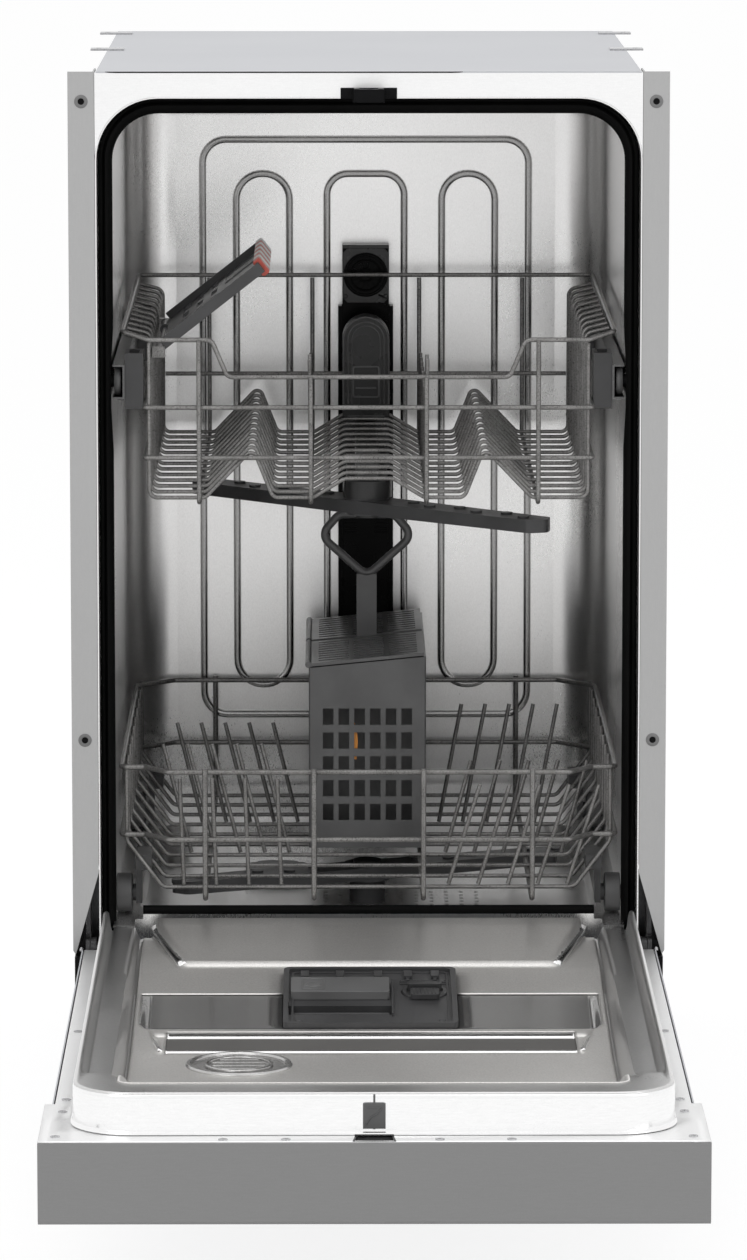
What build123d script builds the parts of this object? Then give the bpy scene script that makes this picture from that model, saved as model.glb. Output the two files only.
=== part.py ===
"""Slimline under-counter dishwasher, door open, lower rack part way out.

Everything is modelled from the front plane of the carcase: X to the right, Y towards the
back and Z up from the floor. The finished pieces are then moved by front_y, so that the
origin lies on the floor under the middle of the whole object with its door open.
"""
from build123d import *
import math
import os

# Overall sizes, millimetres
width = 448.0
height = 815.0
carcase_depth = 523.0
door_reach = 664.0
sheet = 1.0
gap = 0.3
near = 0.1

# Tub
tub_half = 195.0
tub_back = 480.0
ceiling_drop = 30.0
tub_ceiling = height - ceiling_drop
ledge_z = 166.5
well_half = 176.0
well_floor = 140.0
well_front = 60.0
well_back = 455.0
seat_half = 203.0
seat_depth = 40.0
mouth_drop = 20.0
seat_top = height - mouth_drop
seat_bottom = 122.0
corner_r = 40.0
sill_top = 175.0
gasket_depth = 12.5

# Door, open and level
pivot_y = -3.0
pivot_z = 152.0
hinge_pin_r = 4.0
pin_play = 0.05
flange_z = 153.0
door_bottom_z = 98.0
door_half = 217.0
door_start = 14.0
console_half = 222.0
console_depth = 119.0
dish_half = 201.0
dish_end = 641.0
rim_z = 182.0
rim_wall = 6.0
dish_floor = 137.0
dish_corner_r = 40.0
bench_half = 165.0
console_wall = 2.5
arm_x = 206.5
arm_width = 4.0
arm_low = 136.0
panel_hole_x = 205.0
panel_hole_near = -150.0
panel_hole_far = -450.0

# Detergent dispenser
dispenser_width = 127.0
dispenser_length = 132.0
dispenser_y = -174.0
dispenser_z = 147.5
dispenser_tilt = 6.5
dispenser_deep = 28.0

# Upper rack
upper_front = 20.0
upper_pitch = 35.0
upper_wires = 13
upper_floor = 493.5
upper_rim_z = 618.0
upper_rim_half = 185.0
upper_half = 165.0
upper_wire_d = 3.0
rim_wire_d = 3.5
tent_x = 87.0
tent_z = 531.0
hump_z = 508.0
rail_z = 578.5
rail_length = 404.0
roller_r = 11.0
roller_width = 5.0
arm_radius = 186.0
upper_arm_y = 210.0
upper_arm_z = 463.0
upper_arm_turn = -42.6

# Cup shelf
shelf_x = -158.0
shelf_z = 600.0
shelf_reach = 100.0
shelf_length = 204.0
shelf_tilt = 38.0

# Lower rack
lower_front = 18.0
lower_depth = 450.0
lower_floor = 190.0
lower_rim_z = 284.0
lower_mid_z = 232.0
lower_rim_half = 188.0
lower_pitch = 45.0
lower_wires = 10
lower_first = lower_front + 30.0
lower_wire_d = 3.2
lower_rim_d = 4.0
wheel_r = 15.0
wheel_width = 12.0
wheel_x = 187.0
axle_r = 3.5

# Cutlery basket
cutlery_half = 46.0
cutlery_front = lower_front + 185.0
cutlery_length = 240.0
cutlery_bottom = lower_floor + lower_wire_d / 2 + 0.3
cutlery_top = 335.0
cutlery_rise = 9.0
cutlery_wall = 2.0
handle_z = 441.0

# Base
base_half = 202.0
base_front = 45.0
base_bottom = 22.0
base_top = 118.0
foot_x = 170.0
foot_front_y = 75.0
foot_rear_y = 480.0
foot_r = 17.0
foot_stem_r = 5.0
inlet_r = 13.0
outlet_r = 11.0
lower_arm_y = 245.0
lower_arm_z = 166.0
lower_arm_radius = 168.0
lower_arm_turn = 24.0

hose_reach = 14.0
nut_width = 3.0
front_y = (door_reach - carcase_depth - hose_reach) / 2
trim_half = width / 2
flange_hole_r = 2.5
trim_hole_x = 214.0
trim_hole_low = 311.6
trim_hole_drop = 22.2
trim_hole_high = height - trim_hole_drop


def block(x0, x1, y0, y1, z0, z1):
    """Box between two corners."""
    return Pos((x0 + x1) / 2, (y0 + y1) / 2, (z0 + z1) / 2) * Box(
        abs(x1 - x0), abs(y1 - y0), abs(z1 - z0)
    )


def rod(start, end, radius):
    """Round bar between two points."""
    a = Vector(*start)
    b = Vector(*end)
    plane = Plane(origin=a, z_dir=b - a)
    return extrude(plane * Circle(radius), (b - a).length)


def tube_rod(start, end, radius, bore):
    """Round bar with a hole along it."""
    return rod(start, end, radius) - rod(start, end, bore)


def wire(points, diameter, radius, close=False):
    """Bent wire: straight runs joined by arcs."""
    corners = [Vector(*p) for p in points]
    if close:
        middle = (corners[0] + corners[-1]) * 0.5
        corners = [middle, *corners, middle]
    inner = range(1, len(corners) - 1)
    radii = radius if isinstance(radius, list) else [radius for _ in inner]
    edges = []
    here = corners[0]
    for k in inner:
        back = (corners[k - 1] - corners[k]).normalized()
        onward = (corners[k + 1] - corners[k]).normalized()
        half_angle = math.acos(max(-1.0, min(1.0, back.dot(onward)))) / 2
        bend = radii[k - 1]
        cut = bend / math.tan(half_angle)
        first = corners[k] + back * cut
        last = corners[k] + onward * cut
        crown = corners[k] + (back + onward).normalized() * (bend / math.sin(half_angle) - bend)
        edges.append(Line(here, first))
        edges.append(ThreePointArc(first, crown, last))
        here = last
    edges.append(Line(here, corners[-1]))
    line = Wire(edges)
    plane = Plane(origin=line @ 0, z_dir=line % 0)
    return sweep(plane * Circle(diameter / 2), path=line)


def round_front(x0, x1, z0, z1, radius):
    """Rounded rectangle in the XZ plane, as a face."""
    face = RectangleRounded(x1 - x0, z1 - z0, radius)
    return Pos((x0 + x1) / 2, 0, (z0 + z1) / 2) * Rot(90, 0, 0) * face


def front_slab(x0, x1, z0, z1, radius, y0, y1):
    """Rounded rectangle of the front view, from y0 back to y1."""
    face = Pos(0, y1, 0) * round_front(x0, x1, z0, z1, radius)
    return extrude(face, amount=y1 - y0, dir=(0, -1, 0))


def both_sides(make):
    """Right-hand piece and its mirror image."""
    right = make()
    return right, mirror(right, about=Plane.YZ)


def tub_cavity(grow):
    """Main space of the tub, or its outside when grown by the sheet."""
    half = tub_half + grow
    front = seat_depth if grow else seat_depth - 1
    depth = tub_back + grow - front
    plan = Pos(0, front + depth / 2) * Rectangle(2 * half, depth)
    rear = plan.vertices().sort_by(Axis.Y)[-2:]
    plan = fillet(rear, corner_r + grow)
    low = ledge_z - grow
    solid = extrude(Pos(0, 0, low) * plan, tub_ceiling + grow - low)
    top = [e for e in solid.edges() if e.center().Z > tub_ceiling - 1 and e.center().Y > front + 1]
    return fillet(top, corner_r - 4 + grow)


def tub_well(grow):
    """Sunk floor between the two wheel ledges."""
    plan = Pos(0, (well_front + well_back) / 2) * RectangleRounded(
        2 * (well_half + grow), well_back - well_front + 2 * grow, corner_r + grow
    )
    low = well_floor - grow
    return extrude(Pos(0, 0, low) * plan, ledge_z - low + (0 if grow else 1))


def tub_seat(grow):
    """Recess round the mouth that the door sits in."""
    front = 0 if grow else -1
    body = front_slab(
        -seat_half - grow, seat_half + grow, seat_bottom - 80, seat_top + grow, 46 + grow,
        front, seat_depth + grow,
    )
    cut_low = seat_bottom - grow
    return body - block(-300, 300, -10, 100, 0, cut_low)


def back_bead(x0, x1, z0, z1, radius):
    """Pressed bead on the back wall, as a raised loop."""
    bead_width = 5.5
    bead_deep = 2.2
    outer = front_slab(x0, x1, z0, z1, radius, tub_back - bead_deep, tub_back + near)
    inner = front_slab(
        x0 + bead_width, x1 - bead_width, z0 + bead_width, z1 - bead_width,
        radius - bead_width, tub_back - bead_deep - 1, tub_back + 1,
    )
    return outer - inner


sump_x0, sump_x1 = -50.0, 105.0
sump_y0, sump_y1 = 95.0, 300.0


def sump_mouth(shrink):
    """Opening in the tub floor over the sump."""
    return Pos((sump_x0 + sump_x1) / 2, (sump_y0 + sump_y1) / 2) * RectangleRounded(
        sump_x1 - sump_x0 - 2 * shrink, sump_y1 - sump_y0 - 2 * shrink, 30 - shrink
    )


def tub_liner():
    outer = tub_cavity(sheet) + tub_well(sheet) + tub_seat(sheet)
    inner = tub_cavity(0) + tub_well(0) + tub_seat(0)
    tub = outer - inner
    tub += back_bead(-136, 136, 251, 732, 22)
    tub += back_bead(-108.5, -59.5, 276, 704, 24)
    tub += back_bead(59.5, 108.5, 276, 704, 24)
    tub += back_bead(-34.3, 34.3, 276, 704, 20)
    tub += block(-172, 172, seat_depth, seat_depth + sheet, ledge_z - sheet, sill_top)
    ledge_front = 14.0
    for side in (-1, 1):
        tub += block(
            side * (well_half + 2), side * (tub_half - 1), ledge_front, seat_depth + near,
            ledge_z - 2, ledge_z,
        )
    tub -= extrude(Pos(0, 0, well_floor - 5) * sump_mouth(8), 10)
    tub -= Pos(-72, 350, well_floor) * Cylinder(salt_neck_r + gap, 10)
    return tub


salt_neck_r = 24.0


def front_frame():
    """Painted strip over the mouth, folded back under the top panel."""
    face = block(-seat_half - sheet, seat_half + sheet, 0, sheet, seat_top + sheet + near, height - sheet)
    fold = block(-seat_half - sheet, seat_half + sheet, 0, 30, height - 2 * sheet, height - sheet)
    corner = block(-seat_half - sheet, seat_half + sheet, 0, sheet, seat_top - 46, seat_top + sheet + near)
    corner -= front_slab(
        -seat_half - sheet - near, seat_half + sheet + near, 0, seat_top + sheet + near, 47, -5, 5
    )
    return face + fold + corner


def tub_gasket():
    front = seat_depth - near - gasket_depth
    outer = front_slab(
        -seat_half + near, seat_half - near, 0, seat_top - near, 46 - near, front, seat_depth - near
    )
    inner = front_slab(-tub_half, tub_half, -50, tub_ceiling, 38, front - 1, seat_depth + 1)
    return outer - inner - block(-300, 300, -10, 100, -60, seat_bottom + near)


def sill_seal():
    """Rubber lip along the top of the sill."""
    lip = block(-172, 172, seat_depth - 3, seat_depth + sheet + 3, sill_top - 4, sill_top + 2)
    lip -= block(
        -173, 173, seat_depth - near, seat_depth + sheet + near, sill_top - 5, sill_top + near
    )
    return lip


def top_panel():
    lid = block(-seat_half, seat_half, 0, carcase_depth, height - sheet, height)
    back = block(
        -seat_half, seat_half, carcase_depth - sheet, carcase_depth, height - 14, height
    )
    return lid + back


def side_panel():
    panel = block(
        base_half, base_half + sheet, seat_depth + 2, carcase_depth - sheet - near,
        base_bottom, height - sheet - near,
    )
    for z in (250, 420, 590):
        panel += block(base_half - 2, base_half + near, 120, 460, z, z + 24)
    return panel


def rear_panel():
    panel = block(
        -base_half + near, base_half - near, carcase_depth - sheet, carcase_depth,
        base_top + 2, height - 15,
    )
    for x in (-110, 0, 110):
        panel += block(x - 14, x + 14, carcase_depth - 3, carcase_depth - sheet + near, 200, 740)
    return panel


def tub_blanket():
    """Sound-deadening mat round the sides and top of the tub."""
    mat = 3.5
    half = tub_half + sheet + near
    body = front_slab(
        -half - mat, half + mat, 190, tub_ceiling + sheet + near + mat, corner_r + mat,
        seat_depth + sheet + 1, tub_back - 50,
    )
    hole = front_slab(
        -half, half, 100, tub_ceiling + sheet + near, corner_r - 4, seat_depth, tub_back
    )
    return body - hole


def side_trim():
    """Angle strip beside the mouth, cut away at its foot, with two screw holes."""
    inner = seat_half + sheet + gap
    leaf = Polyline(
        (inner, height), (trim_half, height), (trim_half, 150), (trim_half - 2, 147), (inner, 210),
        close=True,
    )
    face = make_face(Plane.XZ * leaf)
    strip = extrude(face, amount=1.2, dir=(0, 1, 0))
    strip += block(inner, inner + 1.2, 0, 41, 215, height)
    for z in (trim_hole_low, trim_hole_high):
        strip -= Pos(trim_hole_x, 0, z) * Rot(90, 0, 0) * Cylinder(flange_hole_r, 10)
    return strip


def worktop_tabs():
    """Four small tabs that hold the worktop."""
    tabs = []
    for side in (-1, 1):
        for y in (265, 481):
            tab = block(side * 190, side * 216, y - 9, y + 9, height, height + 1.5)
            tab -= Pos(side * 210, y, height) * Cylinder(2.2, 10)
            tabs.append(tab)
    return tabs


def door_striker():
    """Fixed half of the door lock, over the middle of the mouth."""
    top = seat_top + 8
    plate = block(-21, 21, -1.5, -near, top - 13, top)
    tongue = block(-11, 11, -17, -1.4, top - 10, top)
    tongue -= block(-7, 7, -13, -6, top - 23, top + 7)
    return plate + tongue


def hinge_bracket():
    """Pressed steel cheek that carries the hinge pin, with its black cover."""
    inner = 211.0
    cheek = block(inner, inner + 3, pivot_y, 41, 120, 162)
    cheek += rod((inner, pivot_y, pivot_z), (inner + 3, pivot_y, pivot_z), 9.5)
    cheek += block(inner, inner + 3, 1.5, 41, 162, 208)
    cheek -= rod((inner - 5, pivot_y, pivot_z), (inner + 10, pivot_y, pivot_z), hinge_pin_r)
    foot = block(205, inner + near, 38, 41, 125, 205)
    return cheek + foot


def hinge_cover():
    cover = block(214.1, 222.5, 2, 34, 140, 207)
    cover -= block(214, 220.5, 4, 40, 142, 205)
    cover += block(214.1, 222.5, -9, 2.1, 125, 146.7)
    cover -= rod((200, pivot_y, pivot_z), (221, pivot_y, pivot_z), hinge_pin_r + 1)
    return cover


def hinge_arm():
    """Arm on the door that turns on the pin."""
    arm = block(arm_x, arm_x + arm_width, -120, -3, arm_low, 148)
    arm += Pos(arm_x + arm_width / 2, pivot_y, pivot_z) * Rot(0, 90, 0) * Cylinder(9, arm_width)
    arm -= rod((200, pivot_y, pivot_z), (215, pivot_y, pivot_z), hinge_pin_r + pin_play)
    foot = block(201.5, arm_x + near, -118, -30, 146, 148)
    return arm + foot


def hinge_pin():
    return rod((205.5, pivot_y, pivot_z), (214.05, pivot_y, pivot_z), hinge_pin_r)


def door_spring():
    """Counterbalance spring lying beside the base."""
    return rod((188, 149, 80), (188, 247, 80), 9)


anchor_x = base_half - gap - 3.0


def spring_anchor():
    """Plate and pegs that the spring hooks on."""
    bar = block(178, anchor_x, 142, 149 - gap, 60, 100)
    far_bar = block(178, anchor_x, 247 + gap, 254, 60, 100)
    return bar + far_bar


def dish_plan(shrink, y_front):
    """Plan of the dish: square at the hinge, round at the far corners."""
    half = dish_half - shrink
    end = -dish_end + shrink
    plan = Pos(0, (end + y_front) / 2) * Rectangle(2 * half, y_front - end)
    far = plan.vertices().sort_by(Axis.Y)[:2]
    return fillet(far, max(dish_corner_r - shrink, 6))


def bench_z(y):
    """Height of the sloping bench under the dispenser."""
    return dispenser_z - gap + (y - dispenser_y) * math.tan(math.radians(dispenser_tilt))


def bench_profile(drop):
    """Side view of the floor between apron and bench, lowered by drop."""
    points = [
        (22, 170), (-94, 160), (-100, bench_z(-100)), (-246, bench_z(-246)), (-262, dish_floor + sheet / 2),
    ]
    return [(y, z - drop) for y, z in points]


def bench_shell():
    """Raised sheet that carries the dispenser and runs down into the tub."""
    top = bench_profile(0)
    low = bench_profile(sheet)
    line = Polyline(*[(y, z) for y, z in top + low[::-1]], close=True)
    face = make_face(Plane.YZ * line)
    shell = extrude(face, amount=bench_half, both=True)
    skirt_line = Polyline(*top, (-262, dish_floor - sheet), (-8, dish_floor - sheet), (-8, 160), close=True)
    skirt_face = make_face(Plane.YZ * skirt_line)
    for side in (-1, 1):
        wall = extrude(Pos(side * (bench_half - sheet / 2), 0, 0) * skirt_face, amount=sheet / 2, both=True)
        shell += wall
    return shell


def door_liner():
    ring_front = -8.0
    flange = block(-215, 215, -door_reach + console_wall + near, -door_start, flange_z - sheet, flange_z)
    dome = extrude(Pos(0, 0, flange_z - sheet) * dish_plan(0, ring_front), ledge_z - flange_z + sheet)
    tray = extrude(Pos(0, 0, dish_floor - sheet) * dish_plan(24, ring_front), ledge_z - dish_floor)
    body = flange + dome + tray
    floor_cut = extrude(Pos(0, 0, dish_floor) * dish_plan(25, ring_front + 30), 50)
    body -= floor_cut
    void = extrude(Pos(0, 0, flange_z - 3) * dish_plan(sheet, ring_front + 1), ledge_z - flange_z + 3 - sheet)
    void -= extrude(Pos(0, 0, 0) * dish_plan(24, ring_front + 40), 300)
    body -= void
    for side in (-1, 1):
        body += block(
            side * (well_half + 2), side * (tub_half - 1), ring_front - 1, 10, ledge_z - sheet, ledge_z
        )
    body += bench_shell()
    body -= latch_slot()
    body -= dispenser_frame() * Pos(0, 0, -dispenser_deep / 2 + 2) * Box(
        dispenser_width - 6, dispenser_length - 6, dispenser_deep + 8
    )
    return body


def dish_rim():
    """Raised rim that stands on the ledge all round the dish."""
    ring_front = -8.0
    rim = extrude(Pos(0, 0, ledge_z) * dish_plan(0, ring_front), rim_z - ledge_z)
    top_edges = rim.faces().sort_by(Axis.Z)[-1].edges()
    rim = chamfer(top_edges.filter_by(lambda e: e.center().Y < ring_front - 1), 2)
    return rim - extrude(Pos(0, 0, ledge_z - 1) * dish_plan(rim_wall, ring_front + 30), 30)


def latch_slot():
    return block(-13, 13, -657, -dish_end - 1, flange_z - 5, flange_z + 1)


def door_outer_panel():
    end = -door_reach + console_depth
    tray = block(-door_half, door_half, end, -door_start, door_bottom_z, flange_z)
    tray -= block(
        -door_half + sheet, door_half - sheet, end - 1, -door_start - sheet,
        door_bottom_z + sheet, flange_z + 1,
    )
    for side in (-1, 1):
        tray -= block(
            side * (arm_x - gap), side * (arm_x + arm_width + gap), -door_start - 2, -door_start + 1,
            arm_low - gap, flange_z + 1,
        )
    tray -= block(-door_half + sheet, door_half - sheet, -door_start - 2, -door_start + 1, flange_z - sheet - near, flange_z + 1)
    tray -= block(-dish_half + 22, dish_half - 22, -door_start - 2, -door_start + 1, dish_floor - 2, flange_z + 1)
    for x in (-panel_hole_x, panel_hole_x):
        for y in (panel_hole_near, panel_hole_far):
            tray -= Pos(x, y, door_bottom_z) * Cylinder(flange_hole_r, 10)
    return tray


def control_console():
    end = -door_reach + console_depth
    body = block(-console_half, console_half, -door_reach, end - near, door_bottom_z, flange_z)
    body -= block(
        -console_half + console_wall, console_half - console_wall, -door_reach + console_wall, end + 1,
        door_bottom_z + console_wall, flange_z + 1,
    )
    front_low = body.edges().filter_by(Axis.X).sort_by(Axis.Z)[:2].sort_by(Axis.Y)[:1]
    return chamfer(front_low, 2.5)


def control_board():
    """Electronics on their carrier inside the console."""
    board = block(-150, 150, -640, -575, 104, 106)
    board += block(-150, -140, -635, -580, door_bottom_z + console_wall + near, 104.1)
    board += block(140, 150, -635, -580, door_bottom_z + console_wall + near, 104.1)
    for x in (-100, -40, 30, 90):
        board += block(x, x + 26, -630, -600, 105.9, 118)
    return board


def door_pad():
    """Sound-deadening pad on the outer sheet."""
    return block(
        -190, 190, -520, -40, door_bottom_z + sheet + near, door_bottom_z + sheet + 9
    )


def door_latch():
    """Lock housing under the slot in the flange."""
    top = flange_z - sheet - near
    body = block(-20, 20, -660, -625, top - 24, top)
    body -= latch_slot_deep(top)
    return body


def latch_slot_deep(top):
    return block(-13, 13, -657, -dish_end - 1, top - 20, top + 1)


def latch_flap():
    """Grey cover plate on the end face of the dish."""
    y = -dish_end - near
    return block(-7.5, 7.5, y - 1.5, y, 158, 175)


def door_screws():
    """Small screws in the door's inner flange."""
    spots = [(-99.9, -654), (-58.4, -654), (43.2, -654), (90.7, -654)]
    for side in (-1, 1):
        spots += [(side * 208, -533), (side * 209, -570), (side * 211, -645), (side * 208.5, -311)]
    screws = []
    for x, y in spots:
        head = Pos(x, y, flange_z + near + 0.4) * Cylinder(3.2, 0.8)
        head -= Pos(x, y, flange_z + 1) * Box(3.6, 0.9, 0.8)
        head -= Pos(x, y, flange_z + 1) * Box(0.9, 3.6, 0.8)
        screws.append(head)
    return screws


def dispenser_frame():
    """Place of the dispenser's face: x across, y towards the hinge, z out."""
    return Pos(0, dispenser_y, dispenser_z) * Rot(dispenser_tilt, 0, 0)


lid_x0, lid_x1 = -58.0, 14.0
lid_y0, lid_y1 = -4.0, 31.0
cap_x, cap_y, cap_r = 40.0, 14.0, 17.0


def dispenser_housing():
    w = dispenser_width / 2
    h = dispenser_length / 2
    rim = Pos(0, 0, 1.5) * extrude(RectangleRounded(2 * w, 2 * h, 6), 3)
    rim -= Pos(0, 0, 1.4) * extrude(RectangleRounded(2 * w - 8, 2 * h - 8, 4), 6)
    rim += extrude(RectangleRounded(2 * w, 2 * h, 6), 1.6)
    body = Pos(0, 0, -dispenser_deep / 2) * Box(2 * w - 8, 2 * h - 8, dispenser_deep)
    cup = block(lid_x0 + 4, lid_x1 - 4, lid_y0 + 3, lid_y1 - 3, -22, 5)
    groove = block(lid_x0 - 2, lid_x1 + 2, -38, -18, -6, 5)
    well = Pos(cap_x, cap_y, -8) * Cylinder(cap_r + gap, 20)
    neck = Pos(cap_x, cap_y, -14) * (Cylinder(9, 8) - Cylinder(6, 9))
    return dispenser_frame() * (rim + body - cup - groove - well + neck)


def detergent_lid():
    plate = block(lid_x0, lid_x1, lid_y0, lid_y1, 1.6 + near, 8)
    plate -= block(lid_x0 + 2, lid_x1 - 2, lid_y0 + 2, lid_y1 - 2, 0, 6)
    plate += block(lid_x0 + 9, lid_x0 + 24, lid_y0 + 6, lid_y1 - 4, 7.9, 8.8)
    return dispenser_frame() * plate


def rinse_cap():
    cap = Pos(cap_x, cap_y, -3.1) * Cylinder(cap_r, 13.2)
    cap += Pos(cap_x, cap_y, 4.5) * Box(30, 8, 6)
    return dispenser_frame() * cap


def door_vent():
    """Round vent grille in the floor of the dish."""
    x, y, r = -93.6, -352.0, 38.0
    ring = Pos(x, y, dish_floor + near + 1.5) * (Cylinder(r, 3) - Cylinder(r - 6, 4))
    ring += Pos(x, y, dish_floor + near + 0.6) * Cylinder(r - 5, 1.2)
    for k in range(5):
        ring += Pos(x, y - 20 + 10 * k, dish_floor + near + 1.4) * Box(46, 4, 2)
    return ring


def upper_section():
    """Front view of one cross wire of the upper rack, from the left rim to the right."""
    left = [
        (-upper_rim_half + 1.6, upper_rim_z - 3.4), (-upper_half, upper_rim_z - 8), (-upper_half, upper_floor),
        (-123, upper_floor), (-tent_x, tent_z), (-72, upper_floor), (-42, upper_floor), (-18, hump_z),
    ]
    return left + [(-x, z) for x, z in left[::-1]]


def upper_rack_wires():
    wires = []
    for k in range(upper_wires):
        y = upper_front + k * upper_pitch
        points = [(x, y, z) for x, z in upper_section()]
        bends = [7, 6, 6, 4.5, 6, 6, 9, 9, 6, 6, 4.5, 6, 6, 7]
        if k == 0:
            points = points[1:-1]
            bends = bends[1:-1]
        wires.append(wire(points, upper_wire_d, bends))
    return wires


upper_back = upper_front + (upper_wires - 1) * upper_pitch
touch = (upper_wire_d + rim_wire_d) / 2 + 0.05


def upper_rack_frame():
    """Rim, rings and runners that the cross wires are welded to."""
    front = upper_front - touch
    back = upper_back + touch
    half = upper_rim_half
    rim = [
        (-half, front + 14, upper_rim_z), (-half + 20, front, upper_rim_z - 5), (-118, front, upper_rim_z - 5),
        (-106, front, 585), (106, front, 585), (118, front, upper_rim_z - 5), (half - 20, front, upper_rim_z - 5),
        (half, front + 14, upper_rim_z), (half, back + 6, upper_rim_z + 3), (-half, back + 6, upper_rim_z + 3),
    ]
    parts = [wire(rim, rim_wire_d, 6, close=True)]
    ring_half = upper_half + touch
    for z in (562.0, 524.0):
        ring = [(-ring_half, back, z), (-ring_half, front, z), (ring_half, front, z), (ring_half, back, z)]
        parts.append(wire(ring, rim_wire_d, 3))
    parts.append(rod((-ring_half + 5, back, 541), (ring_half - 5, back, 541), rim_wire_d / 2))
    runner_z = upper_floor - touch
    runner_front = front - rim_wire_d - 0.05
    runner_back = back + rim_wire_d + 0.05
    for x in (-127.5, 127.5):
        line = [(x, runner_front, upper_rim_z - 5), (x, runner_front, runner_z),
                (x, runner_back, runner_z), (x, runner_back, upper_rim_z + 1)]
        parts.append(wire(line, rim_wire_d, 6))
    for x in (-43.5, 43.5):
        line = [(x, runner_front, 585), (x, runner_front, runner_z),
                (x, runner_back, runner_z), (x, runner_back, upper_rim_z + 1)]
        parts.append(wire(line, rim_wire_d, 6))
    return parts


def upper_tines():
    """Two rows of upright pins on the middle runners."""
    pins = []
    low = upper_floor - touch + rim_wire_d / 2
    for side in (-1, 1):
        for k in range(upper_wires - 1):
            y = upper_front + (k + 0.5) * upper_pitch
            tall = 596 if k < 2 else 560
            pins.append(rod((side * 43.5, y, low), (side * 44.5, y, tall), 1.4))
    return pins


rail_web = 184.0
rail_front = upper_front + 22


def upper_rail():
    """Channel on the rack's side that runs over the rollers on the tub wall."""
    inside = roller_r + 0.5
    wall = 1.5
    rail = block(rail_web, 193, rail_front, rail_front + rail_length, rail_z - inside - wall, rail_z + inside + wall)
    rail -= block(rail_web + 1.6, 200, rail_front - 1, rail_front + rail_length + 1, rail_z - inside, rail_z + inside)
    return rail


def rail_hanger():
    """Grey carriers between the rack's rings and the channel."""
    parts = []
    inner = upper_half + touch + rim_wire_d / 2 + near
    for y in (44, 385):
        body = block(inner, rail_web - near, y, y + 34, 558, 600)
        body -= block(inner + 3, rail_web - 3, y + 5, y + 29, 561, 601)
        parts.append(body)
    return parts


def tub_roller(y):
    x0 = 187.0
    wheel = Pos(x0 + roller_width / 2, y, rail_z) * Rot(0, 90, 0) * Cylinder(roller_r, roller_width)
    return wheel - rod((x0 - 1, y, rail_z), (x0 + 8, y, rail_z), 2.5 + pin_play)


roller_ys = (54.0, 92.0)


def roller_pins():
    """Pins in the tub wall that carry the rollers."""
    pins = []
    for y in roller_ys:
        pin = rod((186.2, y, rail_z), (tub_half - near, y, rail_z), 2.5)
        pin += rod((192 + gap, y, rail_z), (tub_half - near, y, rail_z), 5)
        pin += rod((186.2, y, rail_z), (187 - gap, y, rail_z), 4)
        pins.append(pin)
    return pins


duct_y0, duct_y1 = 408.5, 436.0


def rack_feed_duct():
    """Water duct from the back of the upper rack to the hub of its spray arm."""
    low = upper_arm_z + 6.5 + gap
    high = upper_floor - upper_wire_d / 2 - rim_wire_d - 5
    rib_top = hump_z - upper_wire_d / 2 - gap
    duct = block(-16, 16, upper_arm_y, duct_y1, low, high)
    duct += block(-19, 19, duct_y0, duct_y1, low, 572)
    duct += Pos(0, (duct_y0 + duct_y1) / 2, 572) * Rot(90, 0, 0) * Cylinder(19, duct_y1 - duct_y0)
    duct += rod((0, duct_y1 - 1, 570), (0, 456, 570), 12)
    duct += Pos(0, upper_arm_y, (low + high) / 2) * Cylinder(19, high - low)
    duct -= block(-13, 13, upper_arm_y, duct_y1 - 3, low + 3, high - 3)
    duct -= block(-15, 15, duct_y0 + 3, duct_y1 - 3, low + 3, 575)
    duct -= rod((0, duct_y1 - 5, 570), (0, 460, 570), 9.5)
    duct += rod((0, upper_arm_y, upper_arm_z - 7), (0, upper_arm_y, low + 1), 6)
    duct += rod((0, upper_arm_y, upper_arm_z - 9), (0, upper_arm_y, upper_arm_z - 6.5 - gap), 10)
    duct += block(-9, 9, upper_arm_y - 10, duct_y0 + 1, high - near, rib_top)
    return duct


def spray_arm(y, z, radius, turn, hub_r, bore):
    """Hollow-looking spray arm with raised nozzles, turned about its hub."""
    shape = Polyline(
        (-radius + 8, -13), (-30, -17), (30, -17), (radius - 8, -13), (radius, 0),
        (radius - 8, 13), (30, 17), (-30, 17), (-radius + 8, 13), (-radius, 0), close=True,
    )
    face = make_face(shape)
    face = fillet(face.vertices(), 6)
    arm = extrude(Pos(0, 0, -5) * face, 10)
    arm += Pos(0, 0, 0) * Cylinder(hub_r, 13)
    for side in (-1, 1):
        for k in range(6):
            x = side * (45 + 24 * k)
            arm += Pos(x, (-1) ** k * 4, 5) * Cylinder(4.5, 3)
    arm -= Pos(0, 0, 0) * Cylinder(bore, 40)
    return Pos(0, y, z) * Rot(0, 0, turn) * arm


def upper_spray_arm():
    return spray_arm(upper_arm_y, upper_arm_z, arm_radius, upper_arm_turn, 17, 6 + pin_play)


def shelf_frame():
    """Pivot line of the cup shelf, with x along the plate."""
    return Pos(shelf_x, 0, shelf_z) * Rot(0, -shelf_tilt, 0)


shelf_y0 = upper_front + upper_pitch + 4


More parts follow.
